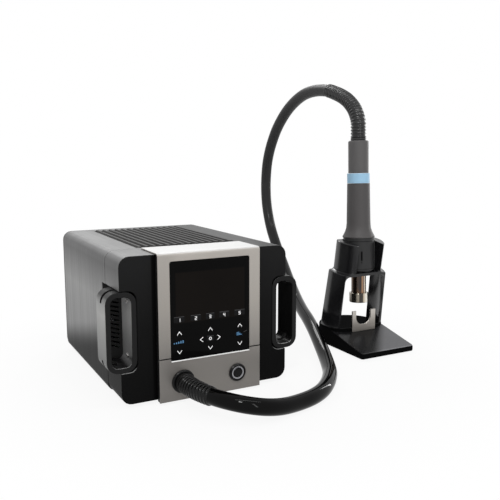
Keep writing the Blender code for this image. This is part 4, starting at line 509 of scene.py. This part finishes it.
FRAME_SKIN = frame_skin()
BLACK_PLASTIC = moulded("black_plastic", (0.009, 0.009, 0.0093), 0.44, shine=0.18)
HANDLE_PAINTED_LIGHT = handle_painted_light()
VENT_PAINT = moulded("vent_paint", (0.030, 0.029, 0.028), 0.42, 0.15, 0.12)
LOUVRE_BLACK = moulded("louvre_black", (0.0034, 0.0034, 0.0034), 0.5, shine=0.06)
SOCKET_BLACK = moulded("socket_black", (0.0045, 0.0045, 0.0046), 0.30, shine=0.16)
INNER_BLACK = moulded("inner_black", (0.02, 0.02, 0.02), 0.55)
HOLDER_BLACK = moulded("holder_black", (0.0090, 0.0090, 0.0098), 0.19, 0.05, 0.42)
STAND_BLACK = stand_black()
GRIP_GREY = moulded("grip_grey", (0.068, 0.064, 0.064), 0.50, 0.2, spread=0.08)
SLEEVE_GREY = moulded("sleeve_grey", (0.092, 0.089, 0.089), 0.50, 0.2, spread=0.08)
HOUSING_BLACK = moulded("housing_black", (0.028, 0.028, 0.0285), 0.45, shine=0.2)
RING_BLUE = moulded("ring_blue", (0.33, 0.55, 0.73), 0.42, 0.1, spread=0.05)
LIT_RING = moulded("lit_ring", (0.36, 0.36, 0.38), 0.3, 0.05)
IMPELLER_PALE = moulded("impeller_pale", (0.5, 0.5, 0.48), 0.5)
CERAMIC_WHITE = moulded("ceramic_white", (0.72, 0.68, 0.60), 0.6)
CAPACITOR_SLEEVE = moulded("capacitor_sleeve", (0.02, 0.03, 0.12), 0.25, 0.05)
CORE_LACQUER = moulded("core_lacquer", (0.09, 0.09, 0.1), 0.4, 0.5)
COIL_ENAMEL = bare_metal("coil_enamel", (0.5, 0.2, 0.08), 0.35, (1.0, 0.05, 1.0))
FOOT_RUBBER = rubber("foot_rubber", (0.016, 0.016, 0.016), 0.85)
HOSE_BLACK = hose_black()
RIB_BLACK = rubber("rib_black", (0.0020, 0.0020, 0.0021), 0.17, 0.22)
BOOT_GREY = rubber("boot_grey", (0.009, 0.009, 0.0094), 0.12, 0.45)
DUCT_GREY = rubber("duct_grey", (0.22, 0.23, 0.24), 0.6)
TRAY_ZINC = bare_metal("tray_zinc", (0.42, 0.43, 0.44), 0.45, (1.0, 0.05, 1.0))
PLAIN_STEEL = bare_metal("plain_steel", (0.50, 0.50, 0.52), 0.35)
SINK_ALLOY = bare_metal("sink_alloy", (0.62, 0.62, 0.63), 0.35, (1.0, 0.04, 1.0))
NUT_PLATE = bare_metal("nut_plate", (0.55, 0.50, 0.36), 0.3)
DARK_SCREW = bare_metal("dark_screw", (0.42, 0.41, 0.40), 0.28)
# White of a painted highlight: the strip under the display.
SILL_HIGHLIGHT = moulded("sill_painted_highlight", (0.84, 0.84, 0.83), 0.35, 0.05)
# Black of the seams, and painted shade in the screws' crosses and the housing's slot.
SEAM_AND_SHADE_BLACK = moulded("seam_and_painted_shade_black", (0.002, 0.002, 0.002), 0.6, shine=0.05)
GRAPHITE = graphite_cover()
FASCIA = blasted_fascia()
DISPLAY = display_black()
HOT_TUBE = hot_tube()
COLLAR = bright_collar()
HOOK = hook_steel()
CIRCUIT = circuit_green()

FINISHES = {
    "front_frame": FRAME_SKIN, "main_cover": GRAPHITE, "base_tray": TRAY_ZINC,
    "handle_left": HANDLE_PAINTED_LIGHT, "handle_right": HANDLE_PAINTED_LIGHT, "side_louvre_left": LOUVRE_BLACK,
    "side_louvre_right": LOUVRE_BLACK, "top_vent": VENT_PAINT, "upper_fascia": FASCIA,
    "lower_fascia": FASCIA, "fascia_carrier": BLACK_PLASTIC, "display_glass": DISPLAY,
    "display_module": INNER_BLACK, "display_board": CIRCUIT, "button_bezel": SOCKET_BLACK,
    "button_light_ring": LIT_RING, "power_button": SOCKET_BLACK, "button_nut": NUT_PLATE,
    "button_switch": INNER_BLACK, "hose_socket": SOCKET_BLACK, "rear_panel": BLACK_PLASTIC,
    "mains_inlet": SOCKET_BLACK, "fuse_drawer": SOCKET_BLACK, "blower_housing": INNER_BLACK,
    "blower_cover": INNER_BLACK, "blower_motor": PLAIN_STEEL, "impeller": IMPELLER_PALE,
    "air_duct": DUCT_GREY, "transformer_core": CORE_LACQUER, "transformer_coil": COIL_ENAMEL,
    "control_board": CIRCUIT, "heat_sink": SINK_ALLOY, "filter_capacitor": CAPACITOR_SLEEVE,
    "stand_base": STAND_BLACK, "stand_holder": HOLDER_BLACK, "sleep_magnet": PLAIN_STEEL,
    "nozzle_hook": HOOK, "nozzle_collar": COLLAR, "heater_tube": HOT_TUBE,
    "heating_element": CERAMIC_WHITE, "lower_housing": HOUSING_BLACK, "handle_grip": GRIP_GREY,
    "handle_ring": RING_BLUE, "handle_sleeve": SLEEVE_GREY, "hose_lower": HOSE_BLACK,
    "hose_upper": HOSE_BLACK, "hose_sleeve": RIB_BLACK, "hose_boot": BOOT_GREY,
}
EDGES = {                                       # the round on each node's edges, in millimetres
    "front_frame": 0.5, "main_cover": 0.3, "handle_left": 0.7, "handle_right": 0.7,
    "upper_fascia": 0.3, "lower_fascia": 0.3, "display_glass": 0.25, "stand_base": 0.5,
    "stand_holder": 0.6, "nozzle_hook": 0.3, "nozzle_collar": 0.3, "lower_housing": 0.35,
    "handle_grip": 0.3, "handle_ring": 0.3, "handle_sleeve": 0.4, "hose_socket": 0.3,
    "rear_panel": 0.4, "mains_inlet": 0.4, "fuse_drawer": 0.3, "top_vent": 0.25,
    "heater_tube": 0.15,
}
PIERCED = ("main_cover", "rear_panel")          # joining their flat faces would cover the slots
WELD_GAP = 0.00001                              # metres
FLAT_TURN = math.radians(0.6)                   # faces that turn less than this become one
GENTLE_TURN = math.radians(32.0)                # edges that turn less than this shade smooth
SHARP_TURN = math.radians(35.0)                 # and from here they are rounded, or kept sharp
LEVEL_WEIGHT = 80                               # how far large faces win over small ones


# Edges and shading
def smooth_look():
    """A node tree that shades gentle turns smooth and keeps real edges crisp."""
    tree = bpy.data.node_groups.new("smooth_look", "GeometryNodeTree")
    tree.interface.new_socket("Geometry", in_out="INPUT", socket_type="NodeSocketGeometry")
    tree.interface.new_socket("Geometry", in_out="OUTPUT", socket_type="NodeSocketGeometry")
    start = tree.nodes.new("NodeGroupInput")
    plain = tree.nodes.new("GeometryNodeRemoveAttribute")
    plain.inputs["Name"].default_value = "custom_normal"
    faces = tree.nodes.new("GeometryNodeSetShadeSmooth")
    faces.domain = "FACE"
    edges = tree.nodes.new("GeometryNodeSetShadeSmooth")
    edges.domain = "EDGE"
    turn = tree.nodes.new("GeometryNodeInputMeshEdgeAngle")
    gentle = tree.nodes.new("FunctionNodeCompare")
    gentle.data_type = "FLOAT"
    gentle.operation = "LESS_THAN"
    gentle.inputs[1].default_value = GENTLE_TURN
    end = tree.nodes.new("NodeGroupOutput")
    tree.links.new(start.outputs[0], plain.inputs["Geometry"])
    tree.links.new(plain.outputs["Geometry"], faces.inputs["Geometry"])
    tree.links.new(faces.outputs["Geometry"], edges.inputs["Geometry"])
    tree.links.new(turn.outputs["Unsigned Angle"], gentle.inputs[0])
    tree.links.new(gentle.outputs["Result"], edges.inputs["Shade Smooth"])
    tree.links.new(edges.outputs["Geometry"], end.inputs[0])
    return tree


SMOOTH = smooth_look()


def crisp(thing, edge, pierced):
    """Small rounds on a node's edges, in millimetres, and shading to match."""
    weld = thing.modifiers.new("weld", "WELD")
    weld.merge_threshold = WELD_GAP
    if not pierced:
        flat = thing.modifiers.new("flats", "DECIMATE")
        flat.decimate_type = "DISSOLVE"
        flat.angle_limit = FLAT_TURN
    if edge:
        bevel = thing.modifiers.new("edges", "BEVEL")
        bevel.width = edge * MM
        bevel.segments = 2
        bevel.limit_method = "ANGLE"
        bevel.angle_limit = SHARP_TURN
        bevel.miter_outer = "MITER_ARC"
        bevel.use_clamp_overlap = True
    look = thing.modifiers.new("shading", "NODES")
    look.node_group = SMOOTH
    if edge:
        level = thing.modifiers.new("level_faces", "WEIGHTED_NORMAL")
        level.mode = "FACE_AREA"
        level.weight = LEVEL_WEIGHT
        level.keep_sharp = True


def wear(thing, material):
    """Puts one material on a piece."""
    slots = thing.data.materials
    slots.clear()
    slots.append(material)


for node_name, thing in NODES.items():
    wear(thing, FINISHES.get(node_name, FOOT_RUBBER))
    crisp(thing, EDGES.get(node_name, 0.0), node_name in PIERCED)


# Mesh helpers
def piece(name, points, faces, material, body=None):
    """A new piece from points in the model's frame, riding on a body if one is named."""
    mesh = bpy.data.meshes.new(name)
    mesh.from_pydata([tuple(point) for point in points], [], faces)
    mesh.validate()
    thing = bpy.data.objects.new(name, mesh)
    scene.collection.objects.link(thing)
    form = bmesh.new()
    form.from_mesh(mesh)
    bmesh.ops.recalc_face_normals(form, faces=form.faces)
    form.to_mesh(mesh)
    form.free()
    mesh.materials.append(material)
    if body:
        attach(thing, body)
    return thing


def shade(thing):
    """Smooth shading that keeps real edges."""
    thing.data.shade_smooth()
    thing.data.set_sharp_from_angle(angle=SHARP_TURN)
    return thing


CURVE_STEPS = 12


def smooth_route(route):
    """A curve through the points of a route, in CURVE_STEPS from each to the next."""
    places = [Vector(place) for place in route]
    places = [places[0] * 2 - places[1], *places, places[-1] * 2 - places[-2]]
    fine = []
    for first, second, third, fourth in zip(places, places[1:], places[2:], places[3:]):
        for step in range(CURVE_STEPS):
            t = step / CURVE_STEPS
            fine.append(0.5 * ((2 * second) + (third - first) * t
                               + (2 * first - 5 * second + 4 * third - fourth) * t * t
                               + (3 * second - first - 3 * third + fourth) * t ** 3))
    fine.append(Vector(route[-1]))
    return fine


def measured(points):
    """Distance of each point from the first, along the points."""
    lengths = [0.0]
    for before, after in zip(points, points[1:]):
        lengths.append(lengths[-1] + (after - before).length)
    return lengths


def picked(points, lengths, places):
    """The points that lie at the given distances along a route."""
    found = []
    cursor = 0
    for place in places:
        while cursor < len(lengths) - 2 and lengths[cursor + 1] < place:
            cursor += 1
        share = (place - lengths[cursor]) / (lengths[cursor + 1] - lengths[cursor])
        found.append(points[cursor].lerp(points[cursor + 1], share))
    return found


def tube(name, centres, radii, material, sides, body):
    """A round tube of rings square to its centreline, with closed ends."""
    points = []
    faces = []
    normal = Vector((0.0, 0.0, 1.0))
    for index, centre in enumerate(centres):
        ahead = centres[min(index + 1, len(centres) - 1)] - centres[max(index - 1, 0)]
        ahead.normalize()
        normal = (normal - ahead * normal.dot(ahead)).normalized()
        side = ahead.cross(normal)
        for step in range(sides):
            turn = math.tau * step / sides
            points.append(centre + (normal * math.cos(turn) + side * math.sin(turn)) * radii[index])
        if index:
            low = (index - 1) * sides
            for step in range(sides):
                after = (step + 1) % sides
                faces.append((low + step, low + after, low + sides + after, low + sides + step))
    faces.append(tuple(range(sides)))
    faces.append(tuple(range(len(points) - sides, len(points))))
    return shade(piece(name, points, faces, material, body))


# Hose
def hose_line():
    """The hose's centreline in the model's frame, from the socket to the handpiece."""
    start = at(-30.0, -10.3, 21.0)
    route = [start, start - Vector((0.0, 6.0, 0.0)) * MM, *[at(*place) for place in ROUTE],
             on_hand(0.0, 0.0, HAND_LENGTH + 14.3), on_hand(0.0, 0.0, HAND_LENGTH + 0.3)]
    fine = smooth_route(route)
    return fine, measured(fine)


RIB = ((0.06, 0.9), (0.16, 0.25), (0.28, 0.0), (0.46, 0.0), (0.58, 0.25), (0.68, 0.9), (0.84, 1.0))


def ribbed(length, base, tip, plain, ribs, depth):
    """Distances and radii along a ribbed sleeve that starts with a plain stretch.

    RIB holds a rib's outline: the share of the pitch, and the share of the depth below its top.
    """
    places = [0.0, 0.3, 0.6, plain]
    radii = [base - 0.6, base - 0.15, base, base]
    pitch = (length - plain) / ribs
    for rib in range(ribs):
        low = plain + rib * pitch
        radius = base + (tip - base) * low / length
        for along, sink in RIB:
            places.append(low + along * pitch)
            radii.append(radius - depth * sink)
    return [*places, length], [*radii, tip - depth]


LINE, RUN = hose_line()
LENGTH = RUN[-1] / MM
HOSE_STEPS = 220
END_GAP = 1.0                                   # from each end of the line to the hose's end


def hose_piece(name, places, radii, material, sides, body=None):
    """A round piece along the hose's line, from distances and radii in millimetres."""
    centres = picked(LINE, RUN, [place * MM for place in places])
    return tube(name, centres, [radius * MM for radius in radii], material, sides, body)


hose_places = [END_GAP + (LENGTH - 2 * END_GAP) * step / HOSE_STEPS
               for step in range(HOSE_STEPS + 1)]
hose = hose_piece("air_hose", hose_places, [HOSE_DIAMETER / 2] * len(hose_places), HOSE_BLACK,
                  36)
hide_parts("hose_lower", "hose_upper")

sleeve_places, sleeve_radii = ribbed(SLEEVE_LENGTH, 9.7, 8.9, 4.0, 11, 1.0)
sleeve = hose_piece("ribbed_sleeve", sleeve_places, sleeve_radii, RIB_BLACK, 40,
                    "case")
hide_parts("hose_sleeve")

boot_places, boot_radii = ribbed(BOOT_LENGTH - 0.3, 9.4, 8.7, 3.0, 27, 1.05)
boot = hose_piece("ribbed_boot", [LENGTH - place for place in reversed(boot_places)],
                  boot_radii[::-1], BOOT_GREY, 40, "handpiece")
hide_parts("hose_boot")

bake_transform(hose)
[tuple(place) for place in LINE[::6]] + [tuple(LINE[-1])]


# Display marks
PRINT_BACK = 0.01                               # how far a print's back stands off the glass


def print_flat(name, shapes, material, lift):
    """Thin printed shapes on the display, each a loop of x and z on the case's front."""
    points = []
    faces = []
    for loop in shapes:
        first = len(points)
        count = len(loop)
        points += [at(x, FRONT - lift, z) for x, z in loop]
        points += [at(x, FRONT - PRINT_BACK, z) for x, z in loop]
        faces.append(tuple(range(first, first + count)))
        faces.append(tuple(range(first + 2 * count - 1, first + count - 1, -1)))
        for step in range(count):
            after = (step + 1) % count
            faces.append((first + step, first + count + step, first + count + after,
                          first + after))
    return piece(name, points, faces, material, "case")


def bar(start, end, width):
    """A straight printed bar between two places."""
    a, b = Vector(start), Vector(end)
    side = (b - a).normalized()
    side = Vector((-side.y, side.x)) * width / 2
    return [tuple(a + side), tuple(b + side), tuple(b - side), tuple(a - side)]


def chevron(x, z, turn):
    """An arrow head in two halves: turn 0 points up, 90 left."""
    spin = Matrix.Rotation(math.radians(turn), 2)
    reach, thick = 2.3, 1.0
    low, tip = -reach * 0.72, reach * 0.55
    halves = [[(side * reach, low), (0.0, tip), (0.0, tip + thick), (side * reach, low + thick)]
              for side in (-1, 1)]
    return [[tuple(Vector((x, z)) + spin @ Vector(place)) for place in half] for half in halves]


def plate(x, z, width, height, corner):
    """A rectangle with rounded corners."""
    loop = []
    for index, (side_x, side_z) in enumerate(((1, -1), (1, 1), (-1, 1), (-1, -1))):
        for step in range(4):
            turn = math.radians(-90.0 + 90.0 * index + 30.0 * step)
            loop.append((x + side_x * (width / 2 - corner) + corner * math.cos(turn),
                         z + side_z * (height / 2 - corner) + corner * math.sin(turn)))
    return loop


def ring_loops(x, z, outer, inner, steps=24):
    """A ring as short pieces side by side."""
    parts = []
    for step in range(steps):
        start, end = math.tau * step / steps, math.tau * (step + 1) / steps
        corners = ((outer, start), (outer, end), (inner, end), (inner, start))
        parts.append([(x + radius * math.cos(turn), z + radius * math.sin(turn))
                      for radius, turn in corners])
    return parts


# The strokes of a number, each between two places on a grid two high and one wide
STROKES = {"a": ((0, 2), (1, 2)), "b": ((1, 1), (1, 2)), "c": ((1, 0), (1, 1)),
           "d": ((0, 0), (1, 0)), "e": ((0, 0), (0, 1)), "f": ((0, 1), (0, 2)),
           "g": ((0, 1), (1, 1))}
NUMBERS = {1: "bc", 2: "abged", 3: "abgcd", 4: "fgbc", 5: "afgcd"}


def number(value, x, z):
    """A plain number of straight strokes about a place."""
    width, height, stroke = 1.6, 2.8, 0.5
    shapes = []
    for name in NUMBERS[value]:
        ends = [Vector((x + (place[0] - 0.5) * width, z + (place[1] / 2 - 0.5) * height))
                for place in STROKES[name]]
        over = (ends[1] - ends[0]).normalized() * stroke / 2
        shapes.append(bar(ends[0] - over, ends[1] + over, stroke))
    return shapes


# White print with a painted glow: it gives off light, though it is no lamp.
LEGEND = Finish("legend_white_painted_glow", (0.86, 0.86, 0.86), 0.5, own={"Emission Strength": 0.25})
LEGEND.shader.inputs["Emission Color"].default_value = (0.9, 0.9, 0.9, 1.0)
LEGEND_GREY = Finish("legend_grey", (0.030, 0.030, 0.033), 0.4)
LEGEND_DIM = Finish("legend_dim", (0.0045, 0.0045, 0.005), 0.3, own={"Specular IOR Level": 0.1})
LEGEND_BLUE = Finish("legend_blue", (0.09, 0.25, 0.46), 0.5)

# Keys as places across and widths, and arrows as places across and up with their turns
KEYS = ((-33.0, 10.8), (-16.0, 10.8), (-1.0, 9.2), (14.0, 10.8), (30.8, 11.6))
ARROWS = ((-33.0, 67.9, 0.0), (-33.0, 50.2, 180.0), (-1.0, 68.0, 0.0), (-1.0, 50.2, 180.0),
          (-9.9, 59.1, 90.0), (7.8, 59.2, 270.0), (31.0, 67.9, 0.0), (31.0, 50.2, 180.0))
plates = [plate(x, 81.4, width, 5.4, 0.8) for x, width in KEYS]
plates.append(plate(-1.0, 59.2, 7.6, 5.2, 0.8))
print_flat("key_plates", plates, LEGEND_DIM.material, 0.03)

lines = [plate(x, 84.0, width - 0.6, 0.5, 0.2) for x, width in KEYS]
lines += [plate(-1.0, 61.7, 7.0, 0.4, 0.18), bar((35.2, 60.7), (38.9, 62.2), 0.5)]
print_flat("key_lines", lines, LEGEND_GREY.material, 0.05)

marks = []
for value, (x, _) in enumerate(KEYS, 1):
    marks += number(value, x, 80.9)
for x, z, turn in ARROWS:
    marks += chevron(x, z, turn)
marks += ring_loops(-1.0, 59.1, 1.55, 0.95)
print_flat("display_marks", marks, LEGEND.material, 0.06)

levels = [bar((-38.2 + 2.2 * step, 58.4), (-38.2 + 2.2 * step, 59.4 + 0.42 * step), 1.15)
          for step in range(5)]
levels += [bar((27.4, 58.7 + 1.2 * step), (33.2 - 1.5 * step, 58.7 + 1.2 * step), 0.7)
           for step in range(3)]
print_flat("level_marks", levels, LEGEND_BLUE.material, 0.06)


# Trim and screws
def profile_strip(name, profile, start, end, material):
    """A strip along X on the case with a section of (y, z) places."""
    points = [at(x, y, z) for x in (start, end) for y, z in profile]
    count = len(profile)
    faces = [tuple(range(count)), tuple(range(2 * count - 1, count - 1, -1))]
    for step in range(count):
        after = (step + 1) % count
        faces.append((step, after, count + after, count + step))
    return piece(name, points, faces, material, "case")


def beside(out):
    """Two directions square to a head's own and to each other."""
    over = out.orthogonal().normalized()
    return over, out.cross(over)


def heads(name, spots, profile, material):
    """Turned heads on the case: places, the way each faces, and (radius, height) pairs."""
    sides = 20
    points, faces = [], []
    for place, out in spots:
        over, side = beside(out)
        first = len(points)
        for radius, rise in profile:
            for step in range(sides):
                turn = math.tau * (step + 0.5) / sides
                points.append(place + (over * math.cos(turn) + side * math.sin(turn)) * radius * MM
                              + out * rise * MM)
        for ring in range(len(profile) - 1):
            low = first + ring * sides
            for step in range(sides):
                after = (step + 1) % sides
                faces.append((low + step, low + after, low + sides + after, low + sides + step))
        faces.append(tuple(range(first, first + sides)))
        faces.append(tuple(range(len(points) - sides, len(points))))
    return shade(piece(name, points, faces, material, "case"))


BLOCK_FACES = ((0, 1, 2, 3), (7, 6, 5, 4), (0, 4, 5, 1), (1, 5, 6, 2), (2, 6, 7, 3), (3, 7, 4, 0))


def crosses(name, spots, reach, rise, material):
    """Black crosses on screw heads, painted shade where their recesses are."""
    points, faces = [], []
    for place, out in spots:
        over, side = beside(out)
        for first_way, second_way in ((over, side), (side, over)):
            first = len(points)
            for height in (rise - 0.25, rise + 0.02):
                for a, b in ((1, 1), (-1, 1), (-1, -1), (1, -1)):
                    points.append(place + (first_way * a * reach + second_way * b * reach * 0.24
                                           + out * height) * MM)
            faces += [tuple(first + corner for corner in face) for face in BLOCK_FACES]
    return piece(name, points, faces, material, "case")


SILL = [(FRONT, 40.95), (FRONT - 0.55, 41.1), (FRONT - 0.75, 41.5), (FRONT - 0.3, 42.15),
        (FRONT, 42.2)]
SEAM = [(FRONT - 0.04, 44.35), (FRONT - 0.04, 44.95), (FRONT + 0.1, 44.95), (FRONT + 0.1, 44.35)]
PAN = [(2.3, -0.2), (2.3, 0.25), (2.1, 0.65), (1.6, 0.95), (0.8, 1.1)]
CROSS_REACH, CROSS_RISE = 1.3, 1.1
# A painted highlight: a white strip along the lower edge of the display's recess.
profile_strip("display_sill_highlight", SILL, -41.5, 41.5, SILL_HIGHLIGHT)
for place, start, end in (("left", -53.4, -41.9), ("right", 41.9, 53.4)):
    profile_strip("seam_" + place, SEAM, start, end, SEAM_AND_SHADE_BLACK)
handle_spots = [(at(side * 77.0, y, z), Vector((side, 0.0, 0.0))) for side in (-1, 1)
                for y, z in ((12.7, 100.5), (14.6, 47.6))]
rear_spots = [(at(x, 225.0, z), Vector((0.0, 1.0, 0.0))) for x in (-80.0, 80.0)
              for z in (12.0, 136.0)]
for name, spots in (("handle_screw", handle_spots), ("rear_screw", rear_spots)):
    heads(name + "s", spots, PAN, DARK_SCREW)
    # Painted shade: black crosses stand for the screws' recesses.
    crosses(name + "_slots", spots, CROSS_REACH, CROSS_RISE, SEAM_AND_SHADE_BLACK)


HOUSING_RADIUS = 18.65


def wrapped(name, spans, per_forty):
    """Thin patches on the lower housing, with so many faces to each forty degrees.

    A span holds its start and end angle in degrees, and its start and end along the handpiece.
    """
    points, faces = [], []
    for start, end, low, high in spans:
        count = max(2, int(per_forty * abs(end - start) / 40.0))
        first = len(points)
        for index in range(count + 1):
            turn = math.radians(start + (end - start) * index / count)
            for reach in (HOUSING_RADIUS - 0.3, HOUSING_RADIUS + 0.03):
                for along in (low, high):
                    points.append(on_hand(reach * math.cos(turn), reach * math.sin(turn), along))
        for index in range(count):
            a, b = first + index * 4, first + index * 4 + 4
            faces += [(a + 2, b + 2, b + 3, a + 3), (a, a + 1, b + 1, b), (a, b, b + 2, a + 2),
                      (a + 1, a + 3, b + 3, b + 1)]
        if abs(end - start) < 359.0:
            last = first + count * 4
            faces += [(first, first + 2, first + 3, first + 1),
                      (last, last + 1, last + 3, last + 2)]
    return shade(piece(name, points, faces, SEAM_AND_SHADE_BLACK, "handpiece"))


# Painted shade: a black patch stands for the slot in the housing; the seams below are dark joints.
wrapped("housing_slot", [(-119.0, -112.5, 53.2, 64.6), (-118.0, -113.5, 50.2, 51.8)], 10)
wrapped("housing_seams", [(0.0, 360.0, 76.2, 76.8), (0.0, 360.0, 42.6, 43.0)], 9)


# Camera, light and floor
EYE = Vector((-0.34115, -0.6697, 0.2349))
RIGHT = Vector((0.8817, -0.4718, 0.0))
AHEAD = Vector((0.4667, 0.8723, -0.1456))
FOCAL_LENGTH = 46.63
SENSOR_WIDTH = 36.0
LAMPS = (                                       # name, place, aim, size and watts
    ("key_light", (-0.9, -1.3, 1.5), (0.0, 0.0, 0.1), (0.25, 0.25), 12.0),
    ("front_light", (0.0, -1.7, 0.7), (0.1, 0.0, 0.15), (0.12, 1.1), 4.0),
    ("rear_light", (0.2, 1.4, 1.3), (0.0, 0.0, 0.1), (1.4, 0.2), 9.0),
    ("top_light", (0.0, -0.7, 1.7), (0.0, -0.05, 0.1), (1.8, 0.08), 7.0),
    ("side_light", (1.3, 0.2, 0.45), (0.15, 0.0, 0.2), (0.05, 0.7), 2.5))
ROOM_LIGHT = 0.42
FLOOR_REACH = 3.0
FLOOR_GLOW = (0.16, 0.38, 0.90, 1.0)            # two distances, and the glow's share at each


def camera():
    """The photograph's camera."""
    view = bpy.data.cameras.new("camera")
    view.lens = FOCAL_LENGTH
    view.sensor_width = SENSOR_WIDTH
    eye = bpy.data.objects.new("camera", view)
    scene.collection.objects.link(eye)
    ahead = AHEAD.normalized()
    right = (RIGHT - ahead * RIGHT.dot(ahead)).normalized()
    up = right.cross(ahead)
    turn = Matrix((right, up, -ahead)).transposed().to_4x4()
    eye.matrix_world = Matrix.Translation(EYE) @ turn
    scene.camera = eye


def lamp(name, place, aim, size, watts):
    """A flat rectangular lamp, aimed at a place."""
    light = bpy.data.lights.new(name, "AREA")
    light.shape = "RECTANGLE"
    light.size, light.size_y = size
    light.energy = watts
    thing = bpy.data.objects.new(name, light)
    scene.collection.objects.link(thing)
    thing.location = place
    thing.rotation_euler = (Vector(aim) - Vector(place)).to_track_quat("-Z", "Y").to_euler()


def seen_directly(tree):
    """1 for what the eye, metal or glass sees, and 0 for light on the object."""
    path = tree.nodes.new("ShaderNodeLightPath")
    seen = path.outputs["Is Camera Ray"]
    for other in ("Is Glossy Ray", "Is Transmission Ray"):
        either = tree.nodes.new("ShaderNodeMath")
        either.operation = "MAXIMUM"
        tree.links.new(seen, either.inputs[0])
        tree.links.new(path.outputs[other], either.inputs[1])
        seen = either.outputs[0]
    return seen


def white_room():
    """A white world that lights the object less than it shows."""
    world = bpy.data.worlds.new("studio")
    scene.world = world
    world.use_nodes = True
    tree = world.node_tree
    sky = tree.nodes["Background"]
    strength = tree.nodes.new("ShaderNodeMapRange")
    strength.inputs["To Min"].default_value = ROOM_LIGHT
    strength.inputs["To Max"].default_value = 1.0
    tree.links.new(seen_directly(tree), strength.inputs["Value"])
    tree.links.new(strength.outputs[0], sky.inputs["Strength"])
    sky.inputs["Color"].default_value = (1.0, 1.0, 1.0, 1.0)


def white_floor():
    """A floor that shows white and keeps a faint shadow near the object."""
    form = bpy.data.meshes.new("floor")
    corners = [(-1, -1), (1, -1), (1, 1), (-1, 1)]
    form.from_pydata([(x * FLOOR_REACH, y * FLOOR_REACH, 0.0) for x, y in corners], [],
                     [(0, 1, 2, 3)])
    floor = bpy.data.objects.new("floor", form)
    scene.collection.objects.link(floor)
    paint = Finish("floor_paint", (0.80, 0.80, 0.80), 0.9)
    form.materials.append(paint.material)
    nodes, links = paint.tree.nodes, paint.tree.links
    glow = nodes.new("ShaderNodeEmission")
    glow.inputs["Color"].default_value = (1.0, 1.0, 1.0, 1.0)
    mixed = nodes.new("ShaderNodeMixShader")
    far = paint.node("VectorMath", {"operation": "LENGTH"}, {0: paint.place()}, output="Value")
    share = Wire(paint, seen_directly(paint.tree)) * paint.band(far, *FLOOR_GLOW)
    links.new(share.socket, mixed.inputs[0])
    links.new(paint.shader.outputs[0], mixed.inputs[1])
    links.new(glow.outputs[0], mixed.inputs[2])
    links.new(mixed.outputs[0], nodes["Material Output"].inputs["Surface"])


scene.view_settings.view_transform = "Standard"
camera()
for values in LAMPS:
    lamp(*values)
white_room()
white_floor()
